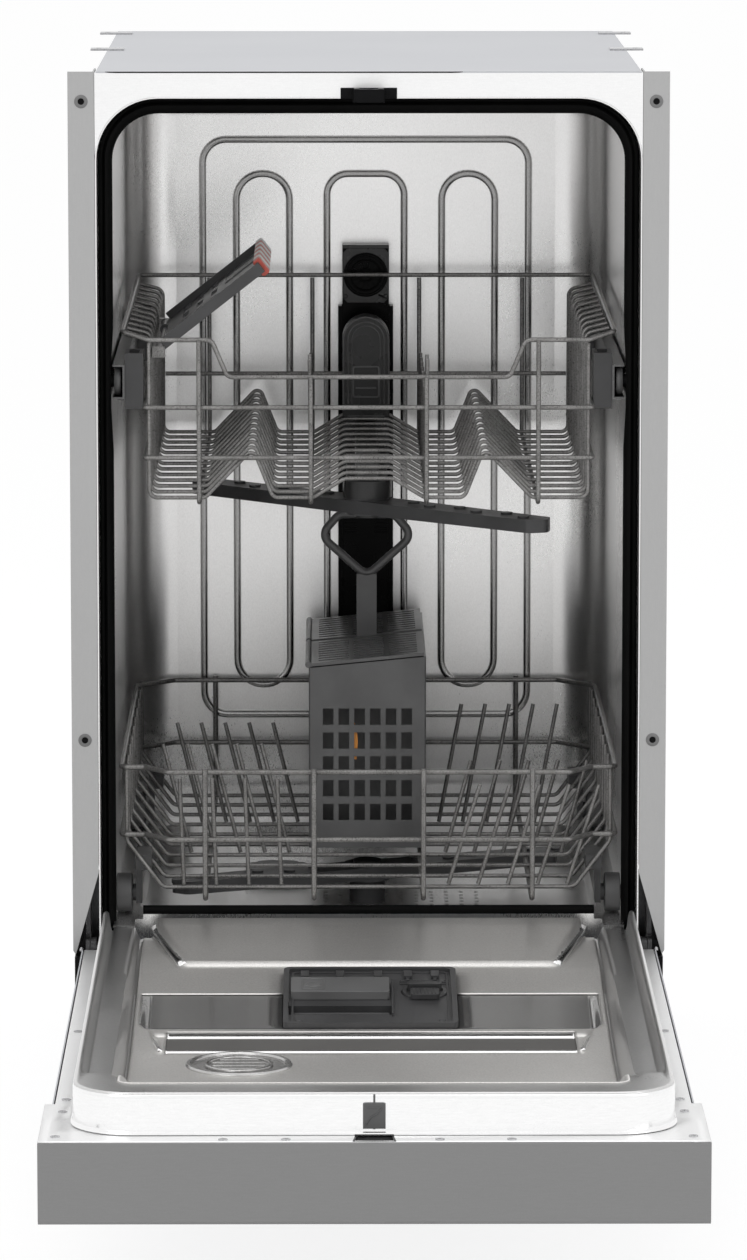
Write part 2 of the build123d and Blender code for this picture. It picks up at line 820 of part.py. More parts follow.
def cup_shelf():
    """Folding shelf for cups, with notches for stems along its free edge."""
    y1 = shelf_y0 + shelf_length
    plate = block(5, shelf_reach, shelf_y0, y1, -1.5, 1.5)
    plate += block(shelf_reach - 3, shelf_reach, shelf_y0, y1, -1.5, 7)
    plate += block(5, shelf_reach, shelf_y0, shelf_y0 + 3, -1.5, 7)
    plate += block(5, shelf_reach, y1 - 3, y1, -1.5, 7)
    notch = shelf_length / 4
    for k in range(4):
        y = shelf_y0 + notch * (k + 0.5)
        plate -= block(62, shelf_reach + 1, y - 9, y + 9, -5, 10)
        for x in (20, 34, 48):
            plate -= block(x, x + 6, y - 16, y + 16, -5, 5)
    knuckles = [(shelf_y0, shelf_y0 + 40), (y1 - 40, y1)]
    for a, b in knuckles:
        plate += rod((0, a, 0), (0, b, 0), 4)
        plate += block(0, 8, a, b, -1.5, 1.5)
    plate -= rod((0, shelf_y0 - 5, 0), (0, y1 + 5, 0), 1.5 + pin_play)
    return shelf_frame() * plate


def shelf_rod():
    """Pivot rod of the shelf and its two clips on the side wires."""
    y0 = upper_front + upper_pitch
    y1 = shelf_y0 + shelf_length + 2
    pivot = rod((shelf_x, y0 - 3, shelf_z), (shelf_x, y1 + 6, shelf_z), 1.5)
    wall = -upper_half + upper_wire_d / 2 + near
    pivot += block(wall, shelf_x + 4, y0 - 3, y0 + 3, shelf_z - 4, shelf_z + 4)
    pivot += block(wall, shelf_x + 4, y1, y1 + 6, shelf_z - 4, shelf_z + 4)
    return pivot


lower_back = lower_front + lower_depth
weld = (lower_wire_d + lower_rim_d) / 2 + 0.05


def lower_rack_rims():
    """Upper and middle rim wires, drawn in at the front corners."""
    parts = []
    for z, grow in ((lower_rim_z, 0), (lower_mid_z, 0)):
        half = lower_rim_half
        loop = [
            (-152, lower_front, z), (-170, lower_first - 6, z), (-half, lower_first - 6, z),
            (-half, lower_back - 30, z), (-half + 30, lower_back, z), (half - 30, lower_back, z),
            (half, lower_back - 30, z), (half, lower_first - 6, z),
            (170, lower_first - 6, z), (152, lower_front, z),
        ]
        parts.append(wire(loop, lower_rim_d, 5, close=True))
    return parts


def lower_section():
    side_x = lower_rim_half - weld
    left = [(-side_x, lower_rim_z + 1), (-side_x, 226), (-157, lower_floor)]
    return left + [(-x, z) for x, z in left[::-1]]


floor_bar_half = 146.0


def lower_rack_wires():
    """Floor bars, and side wires that go down the side and in over the wheels to meet them."""
    wires = []
    for k in range(lower_wires):
        y = lower_first + k * lower_pitch
        wires.append(rod((-floor_bar_half, y, lower_floor), (floor_bar_half, y, lower_floor), lower_wire_d / 2))
        for side in (-1, 1):
            points = [(side * x, y, z) for x, z in lower_section()[3:]]
            wires.append(wire([(side * floor_bar_half, y, lower_floor)] + points, lower_wire_d, 7))
    return wires


def lower_rack_runners():
    """Heavy wires under the floor, up both ends of the rack."""
    parts = []
    low = lower_floor - weld
    front = lower_front - lower_rim_d - 0.05
    back = lower_back + lower_rim_d + 0.05
    for x, back_z in ((-124, lower_rim_z), (-41.5, lower_mid_z), (41.5, lower_mid_z), (124, lower_rim_z)):
        line = [(x, front, lower_rim_z + 3), (x, front, low), (x, back, low), (x, back, back_z + 3)]
        parts.append(wire(line, lower_rim_d, 8))
    return parts


# Plate pins: first x at the floor, step, number, lean in x, tip height, row
lower_rows = (
    (-141.0, 24.8, 4, -3.0, 274.0, 0),
    (-138.0, 19.2, 5, -22.0, 278.0, 3),
    (-132.0, 19.2, 5, -20.0, 273.0, 6),
    (61.0, 22.7, 5, 24.0, 269.0, 0),
    (61.0, 22.7, 5, 20.0, 265.0, 3),
    (58.0, 19.2, 5, 18.0, 288.0, 6),
)


def lower_tines():
    """Rows of plate pins that stand on the cross wires."""
    pins = []
    low = lower_floor + lower_wire_d / 2 + 0.02
    for first, step, count, lean, tip, row in lower_rows:
        y = lower_first + row * lower_pitch
        for k in range(count):
            x = first + k * step
            pins.append(rod((x, y, low + 0.5), (x + lean, y, tip), 1.6))
    return pins


wheel_ys = (lower_first + 0.5 * lower_pitch, lower_first + 8.5 * lower_pitch)
wheel_z = ledge_z + wheel_r + gap
wheel_in = wheel_x - wheel_width / 2
wheel_out = wheel_x + wheel_width / 2


def wheel_carriers():
    """Blocks clipped between two cross wires, each with its wheel axle."""
    parts = []
    for side in (-1, 1):
        for y in wheel_ys:
            reach = lower_pitch / 2 - lower_wire_d / 2 - 0.05
            body = block(side * 166, side * 178, y - reach, y + reach, 203, 214)
            body += block(side * 173.5, side * 178, y - 9, y + 9, wheel_z - 7, 204)
            body += rod((side * 177, y, wheel_z), (side * (wheel_out + 1), y, wheel_z), axle_r)
            body += rod((side * 177, y, wheel_z), (side * (wheel_in - gap), y, wheel_z), axle_r + 3)
            body += rod((side * (wheel_out + gap), y, wheel_z), (side * (wheel_out + 1.3), y, wheel_z), axle_r + 2)
            parts.append(body)
    return parts


def lower_wheel(side, y):
    x0 = side * (wheel_x - wheel_width / 2)
    x1 = side * (wheel_x + wheel_width / 2)
    wheel = rod((x0, y, wheel_z), (x1, y, wheel_z), wheel_r)
    groove = rod((x0 + side * 4, y, wheel_z), (x0 + side * 8, y, wheel_z), wheel_r + 1)
    groove -= rod((x0 + side * 3, y, wheel_z), (x0 + side * 9, y, wheel_z), wheel_r - 1.5)
    wheel -= groove
    return wheel - rod((x0 - side, y, wheel_z), (x1 + side, y, wheel_z), axle_r + pin_play)


def cutlery_basket():
    """Walls and floor with windows, standing face to face, and three partitions."""
    y0 = cutlery_front
    y1 = cutlery_front + cutlery_length
    half = cutlery_half
    outline = make_face(Plane.XZ * Polyline(
        (-half, cutlery_bottom), (half, cutlery_bottom), (half, cutlery_top + cutlery_rise), (-half, cutlery_top),
        close=True,
    ))
    t = cutlery_wall
    front = extrude(Pos(0, y0, 0) * outline, amount=t, dir=(0, 1, 0))
    back = extrude(Pos(0, y1 - t, 0) * outline, amount=t, dir=(0, 1, 0))
    front = fillet(front.edges().filter_by(Axis.Z).sort_by(Axis.Y)[:2], t - near)
    back = fillet(back.edges().filter_by(Axis.Z).sort_by(Axis.Y)[-2:], t - near)
    left = block(-half, -half + t, y0 + t, y1 - t, cutlery_bottom, cutlery_top)
    right = block(half - t, half, y0 + t, y1 - t, cutlery_bottom, cutlery_top + cutlery_rise - 2 * near)
    bottom = block(-half + t, half - t, y0 + t, y1 - t, cutlery_bottom, cutlery_bottom + t)
    columns = 6
    rows = 5
    step = 2 * (half - 9) / columns
    holes = []
    for c in range(columns):
        for r in range(rows):
            x = -half + 9 + step * (c + 0.5)
            z = cutlery_bottom + 22 + 19 * r
            holes.append(block(x - 4.2, x + 4.2, y0 - 1, y1 + 1, z, z + 13))
    side_columns = 14
    side_step = (cutlery_length - 20) / side_columns
    for c in range(side_columns):
        for r in range(rows):
            y = y0 + 10 + side_step * (c + 0.5)
            z = cutlery_bottom + 22 + 19 * r
            holes.append(block(-half - 1, half + 1, y - 5, y + 5, z, z + 13))
    for c in range(columns):
        for r in range(side_columns):
            x = -half + 9 + step * (c + 0.5)
            y = y0 + 10 + side_step * (r + 0.5)
            holes.append(block(x - 4.2, x + 4.2, y - 5, y + 5, cutlery_bottom - 1, cutlery_bottom + t + 1))
    walls = [wall - holes for wall in (front, back, left, right, bottom)]
    for y in (y0 + 60, y0 + 120, y0 + 180):
        walls.append(block(-half + t, half - t, y - 1, y + 1, cutlery_bottom + t, cutlery_top - 20))
    return walls


def cutlery_lid(y0, y1):
    """Slotted lid, hinged along the basket's left edge."""
    tilt = math.degrees(math.atan2(cutlery_rise, 2 * cutlery_half))
    plate = block(0, 2 * cutlery_half - 1, y0, y1, 1, 3.5)
    count = 9
    step = (y1 - y0 - 10) / count
    slots = []
    for k in range(count):
        y = y0 + 5 + step * (k + 0.5)
        for a, b in ((8, 32), (36, 60), (64, 86)):
            slots.append(block(a, b, y - 2.6, y + 2.6, 0, 5))
    plate -= slots
    plate += rod((0, y0, 2.6), (0, y1, 2.6), 2.5)
    return Pos(-cutlery_half, 0, cutlery_top) * Rot(0, -tilt, 0) * plate


middle = cutlery_front + cutlery_length / 2
lid_gap = 5.0


def cutlery_handle():
    """Flat stem with a rounded three-cornered loop."""
    loop = [(0, 391), (37, 424), (22, handle_z), (-22, handle_z), (-37, 424)]
    points = [(x, middle, z) for x, z in loop]
    ring = wire(points, 6.6, 9, close=True)
    stem = block(-8, 8, middle - 2.5, middle + 2.5, cutlery_top - 20 + near, 393)
    return ring + stem


def spray_manifold():
    """Riser on the back wall that feeds the upper arm and the roof nozzle."""
    front = 462.0
    low_front = 470.5
    y1 = tub_back - 2.2 - near
    body = block(-19, 19, front, y1, 305, 643)
    body += block(-22.5, 22.5, front + 4, y1, 320, 594)
    body += block(-16, 16, low_front, y1, ledge_z + near, 306)
    body -= block(-14, 14, front + 3, y1 - 3, 200, 600)
    body += Pos(0, front - 1, 620) * Rot(90, 0, 0) * (Cylinder(18, 4) - Cylinder(13, 6))
    body += Pos(0, front - 1.4, 570) * Rot(90, 0, 0) * Cylinder(16, 5)
    body -= rod((0, 450, 570), (0, 468, 570), 12.5)
    return body


def manifold_cap():
    """Round plug in the unused upper port."""
    plug = Pos(0, 461.2, 620) * Rot(90, 0, 0) * Cylinder(12.8, 1.4)
    for k in range(3):
        plug += Pos(0, 460, 620) * Rot(0, 60 * k, 0) * Box(20, 2, 3)
    return plug


def sump_housing():
    wall = 3.0
    top = well_floor - sheet - near
    outer = extrude(Pos(0, 0, 62) * sump_mouth(0), top - 62)
    inner = extrude(Pos(0, 0, 62 + wall) * sump_mouth(wall + 6), top)
    return outer - inner


def filter_plate():
    """Perforated plate over the sump."""
    plate = extrude(Pos(0, 0, well_floor + near) * sump_mouth(1), 1.2)
    plate -= Pos(filter_x, filter_y, well_floor) * Cylinder(filter_r + gap, 10)
    plate -= Pos(0, lower_arm_y, well_floor) * Cylinder(14 + near, 10)
    holes = []
    for i in range(11):
        for j in range(14):
            x = sump_x0 + 17 + 12 * i
            y = sump_y0 + 18 + 13 * j
            far = math.hypot(x - filter_x, y - filter_y) > filter_r + 6
            clear = math.hypot(x, y - lower_arm_y) > 22
            if far and clear:
                holes.append(Pos(x, y, well_floor) * Cylinder(2, 10))
    return plate - holes


filter_x, filter_y, filter_r = 48.0, 160.0, 36.0


def filter_cup():
    """Fine filter that turns to unlock."""
    cup = Pos(filter_x, filter_y, 117) * Cylinder(filter_r, 60)
    cup -= Pos(filter_x, filter_y, 117) * Cylinder(filter_r - 2.5, 54)
    cup -= Pos(filter_x, filter_y, 145) * Cylinder(filter_r - 8, 10)
    cup += Pos(filter_x, filter_y, 148) * Box(2 * filter_r - 6, 5, 10)
    return cup


def arm_support():
    """Spigot in the sump that the lower arm turns on."""
    top = lower_arm_z - 6.5 - gap
    post = rod((0, lower_arm_y, 65), (0, lower_arm_y, top), 14)
    post += rod((0, lower_arm_y, top - 1), (0, lower_arm_y, lower_arm_z + 9), 7)
    post += rod((0, lower_arm_y, lower_arm_z + 6.5 + gap), (0, lower_arm_y, lower_arm_z + 9), 11)
    post -= Pos(0, lower_arm_y, 110) * Cylinder(5, 84)
    return post


def lower_spray_arm():
    return spray_arm(lower_arm_y, lower_arm_z, lower_arm_radius, lower_arm_turn, 18, 7 + pin_play)


def softener_tank():
    tank = block(-150, -55, 300, 430, 60, 130)
    tank -= block(-147, -58, 303, 427, 63, 127)
    neck = Pos(-72, 350, 136) * Cylinder(salt_neck_r, 14)
    neck -= Pos(-72, 350, 135) * Cylinder(salt_neck_r - 3, 30)
    return tank + neck


def salt_cap():
    """Screw cap of the salt container."""
    cap = Pos(-72, 350, 146.8) * Cylinder(26, 7)
    cap += Pos(-72, 350, 139) * Cylinder(salt_neck_r - 3 - near, 12)
    for k in range(8):
        cap -= Pos(-72, 350, 148) * Rot(0, 0, 45 * k) * Pos(27, 0, 0) * Cylinder(3, 12)
    return cap


def circulation_pump():
    body = Pos(-100, 180, 75) * Rot(90, 0, 0) * Cylinder(36, 90)
    body += Pos(-100, 232, 75) * Rot(90, 0, 0) * Cylinder(28, 20)
    body += rod((-70, 200, 75), (sump_x0 - near, 200, 75), 14)
    body += block(-125, -75, 145, 215, base_bottom + 3 + near, 60)
    return body


def drain_pump():
    body = Pos(145, 220, 70) * Rot(0, 90, 0) * Cylinder(24, 60)
    body += rod((sump_x1 + near, 220, 75), (120, 220, 75), 12)
    body += block(125, 165, 200, 240, base_bottom + 3 + near, 55)
    return body


def inlet_valve():
    """Threaded water inlet at the back."""
    y = carcase_depth - 4
    body = block(120, 157, y - 60, y - 4, base_bottom + 3 + near, 95)
    body += rod((142, y - 10, 70), (142, carcase_depth + hose_reach, 70), inlet_r)
    body += rod((142, carcase_depth + gap, 70), (142, carcase_depth + gap + nut_width, 70), inlet_r + 4)
    body -= rod((142, y - 6, 70), (142, carcase_depth + hose_reach + 1, 70), inlet_r - 5)
    return body


def drain_spigot():
    """Outlet for the drain hose at the back."""
    y = carcase_depth - 4
    body = block(-157, -120, y - 50, y - 4, base_bottom + 3 + near, 90)
    body += rod((-142, y - 10, 62), (-142, carcase_depth + hose_reach, 62), outlet_r)
    body += rod((-142, carcase_depth + gap, 62), (-142, carcase_depth + gap + nut_width, 62), outlet_r + 4)
    body -= rod((-142, y - 6, 62), (-142, carcase_depth + hose_reach + 1, 62), outlet_r - 3)
    return body


def base_tray():
    """Moulded tray under the tub, with posts that carry it."""
    t = 3.0
    tray = block(-base_half + near, base_half - near, base_front, carcase_depth, base_bottom, base_top)
    tray -= block(-base_half + near + t, base_half - near - t, base_front + t, carcase_depth - t, base_bottom + t, base_top + 1)
    for sx in (-1, 1):
        for y in (base_front + 4, tub_back - 30):
            tray += block(sx * 184, sx * (base_half - near - t / 2), y, y + 18, base_bottom + 1, ledge_z - sheet - near)
    for x in (-foot_x, foot_x):
        for y in (foot_front_y, foot_rear_y):
            tray += Pos(x, y, base_bottom + 8) * Cylinder(11, 16)
            tray -= Pos(x, y, base_bottom + 10) * Cylinder(foot_stem_r + 0.02, 60)
    tray -= rod((142, carcase_depth - 10, 70), (142, carcase_depth + 10, 70), inlet_r + 0.2)
    tray -= rod((-142, carcase_depth - 10, 62), (-142, carcase_depth + 10, 62), outlet_r + 0.2)
    return tray


def kick_panel():
    """Plain panel in front of the base."""
    panel = block(-198, 198, base_front - 2.1, base_front - near, base_bottom + 4, base_top)
    return panel


def levelling_feet(y):
    feet = []
    for x in (-foot_x, foot_x):
        foot = Pos(x, y, 4) * Cylinder(foot_r, 8)
        foot += Pos(x, y, 11) * Cylinder(9, 7)
        foot += Pos(x, y, 28) * Cylinder(foot_stem_r, 30)
        feet.append(foot)
    return feet


right_hinge, left_hinge = both_sides(hinge_bracket)
right_cover, left_cover = both_sides(hinge_cover)
right_arm, left_arm = both_sides(hinge_arm)
right_pin, left_pin = both_sides(hinge_pin)
right_trim, left_trim = both_sides(side_trim)
right_panel, left_panel = both_sides(side_panel)
right_rail, left_rail = both_sides(upper_rail)
right_spring, left_spring = both_sides(door_spring)
right_anchor, left_anchor = both_sides(spring_anchor)
hangers = rail_hanger()
hangers = hangers + [mirror(h, about=Plane.YZ) for h in hangers]
pins = roller_pins()
pins = pins + [mirror(p, about=Plane.YZ) for p in pins]

nodes = {
    "tub_liner": tub_liner(),
    "front_frame": front_frame(),
    "tub_gasket": [tub_gasket(), sill_seal()],
    "top_panel": top_panel(),
    "side_panels": [left_panel, right_panel],
    "rear_panel": rear_panel(),
    "tub_blanket": tub_blanket(),
    "side_trims": [left_trim, right_trim],
    "worktop_tabs": worktop_tabs(),
    "door_striker": door_striker(),
    "hinge_brackets": [left_hinge, right_hinge, left_pin, right_pin],
    "hinge_covers": [left_cover, right_cover],
    "door_springs": [left_spring, right_spring, left_anchor, right_anchor],
    "base_tray": base_tray(),
    "kick_panel": kick_panel(),
    "levelling_feet": levelling_feet(foot_front_y) + levelling_feet(foot_rear_y),
    "spray_manifold": [spray_manifold(), manifold_cap()],
    "sump_housing": [sump_housing(), arm_support()],
    "filter_plate": filter_plate(),
    "filter_cup": filter_cup(),
    "lower_spray_arm": lower_spray_arm(),
    "softener_tank": softener_tank(),
    "salt_cap": salt_cap(),
    "circulation_pump": circulation_pump(),
    "drain_pump": drain_pump(),
    "water_connections": [inlet_valve(), drain_spigot()],
    "roller_pins": pins,
    "door_outer_panel": door_outer_panel(),
    "door_liner": [door_liner(), dish_rim()],
    "control_console": control_console(),
    "control_board": control_board(),
    "door_pad": door_pad(),
    "door_latch": [door_latch(), latch_flap()],
    "door_screws": door_screws(),
    "hinge_arms": [left_arm, right_arm],
    "dispenser_housing": dispenser_housing(),
    "detergent_lid": detergent_lid(),
    "rinse_cap": rinse_cap(),
    "upper_rack_wires": upper_rack_wires() + upper_tines(),
    "upper_rack_frame": upper_rack_frame(),
    "upper_rails": [left_rail, right_rail],
    "rail_hangers": hangers,
    "rack_feed_duct": rack_feed_duct(),
    "upper_spray_arm": upper_spray_arm(),
    "cup_shelf": cup_shelf(),
    "shelf_rod": shelf_rod(),
    "lower_rack_frame": lower_rack_rims() + lower_rack_runners(),
    "lower_rack_wires": lower_rack_wires() + lower_tines(),
    "wheel_carriers": wheel_carriers(),
    "cutlery_basket": cutlery_basket() + [cutlery_handle()],
    "cutlery_lids": [cutlery_lid(cutlery_front, middle - lid_gap), cutlery_lid(middle + lid_gap, cutlery_front + cutlery_length)],
    "door_vent": door_vent(),
}
for side, side_name in ((-1, "left"), (1, "right")):
    for y, end_name in zip(wheel_ys, ("front", "rear")):
        nodes[f"rack_wheel_{side_name}_{end_name}"] = lower_wheel(side, y)
    for y, end_name in zip(roller_ys, ("front", "rear")):
        roller = tub_roller(y)
        nodes[f"rail_roller_{side_name}_{end_name}"] = roller if side > 0 else mirror(roller, about=Plane.YZ)


def solids_of(shape):
    """Every solid of a piece or of a list of pieces."""
    pieces = shape if isinstance(shape, (list, tuple)) else [shape]
    return [s for piece in pieces for s in piece.solids()]


os.makedirs("parts", exist_ok=True)
for name, shape in nodes.items():
    moved = [Pos(0, front_y, 0) * solid for solid in solids_of(shape)]
    export_step(Compound(children=moved), f"parts/{name}.step")
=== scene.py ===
import math

import bmesh
import bpy
from mathutils import Matrix, Vector


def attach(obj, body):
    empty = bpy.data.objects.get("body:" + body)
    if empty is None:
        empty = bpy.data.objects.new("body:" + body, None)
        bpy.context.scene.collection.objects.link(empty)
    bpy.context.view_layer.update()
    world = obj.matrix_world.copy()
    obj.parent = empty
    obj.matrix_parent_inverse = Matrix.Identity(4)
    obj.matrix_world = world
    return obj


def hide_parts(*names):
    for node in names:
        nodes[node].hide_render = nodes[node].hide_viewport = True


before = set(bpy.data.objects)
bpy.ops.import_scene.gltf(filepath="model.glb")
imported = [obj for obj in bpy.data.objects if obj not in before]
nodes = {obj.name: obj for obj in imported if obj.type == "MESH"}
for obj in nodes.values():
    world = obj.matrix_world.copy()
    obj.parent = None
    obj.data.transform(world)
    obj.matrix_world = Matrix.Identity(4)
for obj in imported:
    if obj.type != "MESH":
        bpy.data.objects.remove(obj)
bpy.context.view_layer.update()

# Real sizes in millimetres: x from the middle of the carcase, y from its front plane, z from the ground
front_y = 63.5
tub_half = 195.0
tub_ceiling = 785.0
tub_corner = 38
tub_back = 480.0
seat_half = 203.0
seat_top = 795.0
seat_corner = 45.8
seat_gap = 0.2
seal_foot = 122
sill_half = 172
trim_hole_x = 214.0
trim_hole_heights = (311.6, 792.8)
seam_height = 815.0
rail_low = (545, 558)
rail_high = (597, 612)
port_height = 620
riser_front = 462
duct_front = 408.5

# Door, lying open
dish_front = -8.0
dish_end = 641.0
dish_half = 201.0
dish_corner = 40.0
dish_floor = 137.0
rim_top = 182.0
ledge_z = 166.5
sheet_thickness = 0.9
bench_far = -161.0
bench_near = -242.0
bench_half = 160
facet_half = 167.5
groove_half = 147
groove_far = -251
groove_near = -316
groove_floor_far = -262
groove_floor_near = -306
dispenser_hole_x = 60.5
dispenser_hole_y = (-236.5, -111.5)
dispenser_y = -174.0
dispenser_z = 147.5
dispenser_tilt = 6.5
vent_centre = (-93.6, -352.0, dish_floor)

# Border round the dish, and its openings for the dish, the dish's rounded end and the latch
flange_height = 153.2
flange_thickness = 0.3
flange_half = 221.8
flange_start = -14
flange_end = -661.4
liner_half = 215
liner_end = -546
opening_half = 195
opening_near = -600
end_opening_half = 160
end_opening_near = -635
latch_half = 13
latch_far = -642
latch_near = -657

# Moving pieces
shelf_pivot = (-158.0, 0, 600.0)
shelf_angle = -38.0
shelf_clip_pitch = 17.5
rack_wheel_x = 187.0
rack_wheel_z = 181.8
rack_wheel_places = ((70.5, "front"), (430.5, "rear"))
rack_wheel_radius = 15.0
rack_wheel_width = 12.0
rack_wheel_bore = 3.6
roller_x = 189.5
roller_z = 578.5
roller_places = ((54.0, "front"), (92.0, "rear"))
roller_radius = 11.0
roller_width = 5.0
roller_bore = 2.6

# Camera of the photograph
camera_x = -27.3
camera_distance = 4895.7
camera_height = 1126.3
camera_pitch = 8.49
camera_yaw = 0.3605
focal_pixels = 6579.0
photo_height = 1260.0
sensor_width = 36.0

# Brightness of the studio: white as it is seen, and less where it only lights the object
seen_white = 1.0
surround_white = 0.62
floor_glow_strength = 0.84
floor_shade_tone = 0.24
floor_tone = 0.93

wide = (1, 0, 0)
deep = (0, 1, 0)
tall = (0, 0, 1)


def at(x, y, z):
    """Point of the carcase's own millimetres, as metres in the shared frame."""
    return Vector((x / 1000, (y + front_y) / 1000, z / 1000))


def link(piece):
    bpy.context.scene.collection.objects.link(piece)
    return piece


# Materials. The grain is stretched along x, y and z: a small number is the way that it runs
even_grain = (1, 1, 1)
wide_grain = (0.1, 1, 1)
deep_grain = (1, 0.1, 1)
tall_grain = (1, 1, 0.3)


def new_material(name):
    made = bpy.data.materials.new(name)
    made.use_nodes = True
    return made, made.node_tree.nodes, made.node_tree.links


def texture_place(tree_nodes, links, scale):
    """Object coordinates, stretched by a scale along each axis."""
    place = tree_nodes.new("ShaderNodeTexCoord")
    mapping = tree_nodes.new("ShaderNodeMapping")
    mapping.inputs["Scale"].default_value = scale
    links.new(place.outputs["Object"], mapping.inputs["Vector"])
    return mapping.outputs["Vector"]


def noise(tree_nodes, links, vector, scale, detail):
    made = tree_nodes.new("ShaderNodeTexNoise")
    made.inputs["Scale"].default_value = scale
    made.inputs["Detail"].default_value = detail
    made.inputs["Roughness"].default_value = 0.5
    links.new(vector, made.inputs["Vector"])
    return made.outputs["Fac"]


def blend(tree_nodes, links, first, second, share):
    """Two values mixed, with the share that the second one has."""
    made = tree_nodes.new("ShaderNodeMix")
    made.inputs["Factor"].default_value = share
    links.new(first, made.inputs["A"])
    links.new(second, made.inputs["B"])
    return made.outputs["Result"]


def spread(tree_nodes, links, value, low, high):
    """A noise value spread between two numbers."""
    made = tree_nodes.new("ShaderNodeMapRange")
    made.inputs["From Min"].default_value = 0.3
    made.inputs["From Max"].default_value = 0.7
    made.inputs["To Min"].default_value = low
    made.inputs["To Max"].default_value = high
    links.new(value, made.inputs["Value"])
    return made.outputs["Result"]


def ramp(tree_nodes, links, value, dark, light, start=0.3):
    """Colour that runs from dark to light over the middle of a noise value."""
    made = tree_nodes.new("ShaderNodeValToRGB")
    first, last = made.color_ramp.elements
    first.position = start
    first.color = (*dark, 1)
    last.position = 1 - start
    last.color = (*light, 1)
    links.new(value, made.inputs["Fac"])
    return made.outputs["Color"]


def bump(tree_nodes, links, height, strength, distance):
    made = tree_nodes.new("ShaderNodeBump")
    made.inputs["Strength"].default_value = strength
    made.inputs["Distance"].default_value = distance
    links.new(height, made.inputs["Height"])
    return made.outputs["Normal"]


def steel(name, dark, light, rough_low, rough_high, stretch, grain=900.0, depth=0.05, metallic=1.0):
    """Sheet steel with drawn grain: the stretch sets which way the grain runs."""
    made, tree_nodes, links = new_material(name)
    shader = tree_nodes["Principled BSDF"]
    along = texture_place(tree_nodes, links, stretch)
    fine = noise(tree_nodes, links, along, grain, 3)
    even = texture_place(tree_nodes, links, even_grain)
    broad = noise(tree_nodes, links, even, 6, 4)
    speckle = noise(tree_nodes, links, even, 1300, 2)
    grained = blend(tree_nodes, links, fine, speckle, 0.5)
    links.new(ramp(tree_nodes, links, grained, dark, light), shader.inputs["Base Color"])
    uneven = blend(tree_nodes, links, broad, fine, 0.35)
    links.new(spread(tree_nodes, links, uneven, rough_low, rough_high), shader.inputs["Roughness"])
    links.new(bump(tree_nodes, links, grained, depth, 0.0004), shader.inputs["Normal"])
    shader.inputs["Metallic"].default_value = metallic
    return made


def plastic(name, dark, light, rough_low, rough_high, grain=700.0, depth=0.12, coat=0.0, gloss=0.5):
    """Moulded plastic with a fine eroded grain and slight colour variation."""
    made, tree_nodes, links = new_material(name)
    shader = tree_nodes["Principled BSDF"]
    even = texture_place(tree_nodes, links, even_grain)
    fine = noise(tree_nodes, links, even, grain, 2)
    broad = noise(tree_nodes, links, even, 22, 4)
    links.new(ramp(tree_nodes, links, broad, dark, light), shader.inputs["Base Color"])
    links.new(spread(tree_nodes, links, broad, rough_low, rough_high), shader.inputs["Roughness"])
    links.new(bump(tree_nodes, links, fine, depth, 0.0002), shader.inputs["Normal"])
    shader.inputs["Coat Weight"].default_value = coat
    shader.inputs["Coat Roughness"].default_value = 0.2
    shader.inputs["Specular IOR Level"].default_value = gloss
    return made


def coated(name, dark, light):
    """Nylon-coated wire: soft sheen over a speckled coat."""
    made, tree_nodes, links = new_material(name)
    shader = tree_nodes["Principled BSDF"]
    even = texture_place(tree_nodes, links, even_grain)
    speckle = noise(tree_nodes, links, even, 1100, 3)
    broad = noise(tree_nodes, links, even, 60, 3)
    mottled = blend(tree_nodes, links, speckle, broad, 0.4)
    links.new(ramp(tree_nodes, links, mottled, dark, light, start=0.35), shader.inputs["Base Color"])
    links.new(spread(tree_nodes, links, speckle, 0.24, 0.42), shader.inputs["Roughness"])
    links.new(bump(tree_nodes, links, speckle, 0.2, 0.0002), shader.inputs["Normal"])
    shader.inputs["Metallic"].default_value = 0.55
    return made


def grey(tone, blue=0.0):
    """Grey of one tone, with a little more blue where that is given."""
    return (tone, tone, tone + blue)


tub_steel = steel(
    "tub steel", (0.8, 0.795, 0.79), (0.92, 0.915, 0.91), 0.25, 0.33, tall_grain, grain=1500, depth=0.004
)
door_steel = steel(
    "door steel", (0.66, 0.65, 0.635), (0.9, 0.885, 0.865), 0.4, 0.5, (0.5, 1, 1), grain=1300, depth=0.02
)
# Painted dark reflection: a darker, smoother copy of the door steel on the bench face, standing in for the
# dark that the bench reflects
bench_painted_reflection_steel = steel(
    "bench painted reflection steel", (0.46, 0.458, 0.455), (0.5, 0.498, 0.495), 0.22, 0.27, deep_grain, grain=1200, depth=0.001
)
# Painted dark reflection: a darker copy of the door steel on the rim and the ledges of the same sheet
rim_painted_reflection_steel = steel(
    "rim painted reflection steel", (0.58, 0.578, 0.575), (0.7, 0.697, 0.693), 0.26, 0.34, (0.3, 0.3, 1), grain=1500, depth=0.01
)
# Painted highlight: a lighter, glossier copy of the door steel on the dish's upright wall, the bench's
# facets, the groove's lips and the pressed edges
painted_highlight_steel = steel("painted highlight steel", grey(0.88), grey(0.96), 0.12, 0.2, (0.1, 0.1, 1), grain=1200, depth=0.004)
edge_steel = steel(
    "edge steel", grey(0.9), grey(0.97), 0.34, 0.44, wide_grain, grain=1500, depth=0.008, metallic=0.7
)
trim_steel = steel(
    "trim strip", grey(0.47), grey(0.5), 0.5, 0.6, (1, 1, 0.1), grain=1200, depth=0.01, metallic=0.0
)
top_sheet = steel(
    "coated sheet", (0.56, 0.567, 0.595), (0.59, 0.6, 0.625), 0.45, 0.55, (1, 0.2, 1),
    grain=1200, depth=0.01, metallic=0.0,
)
console_grey = steel(
    "console", grey(0.245), grey(0.265), 0.45, 0.55, wide_grain, grain=1200, depth=0.01, metallic=0.0
)
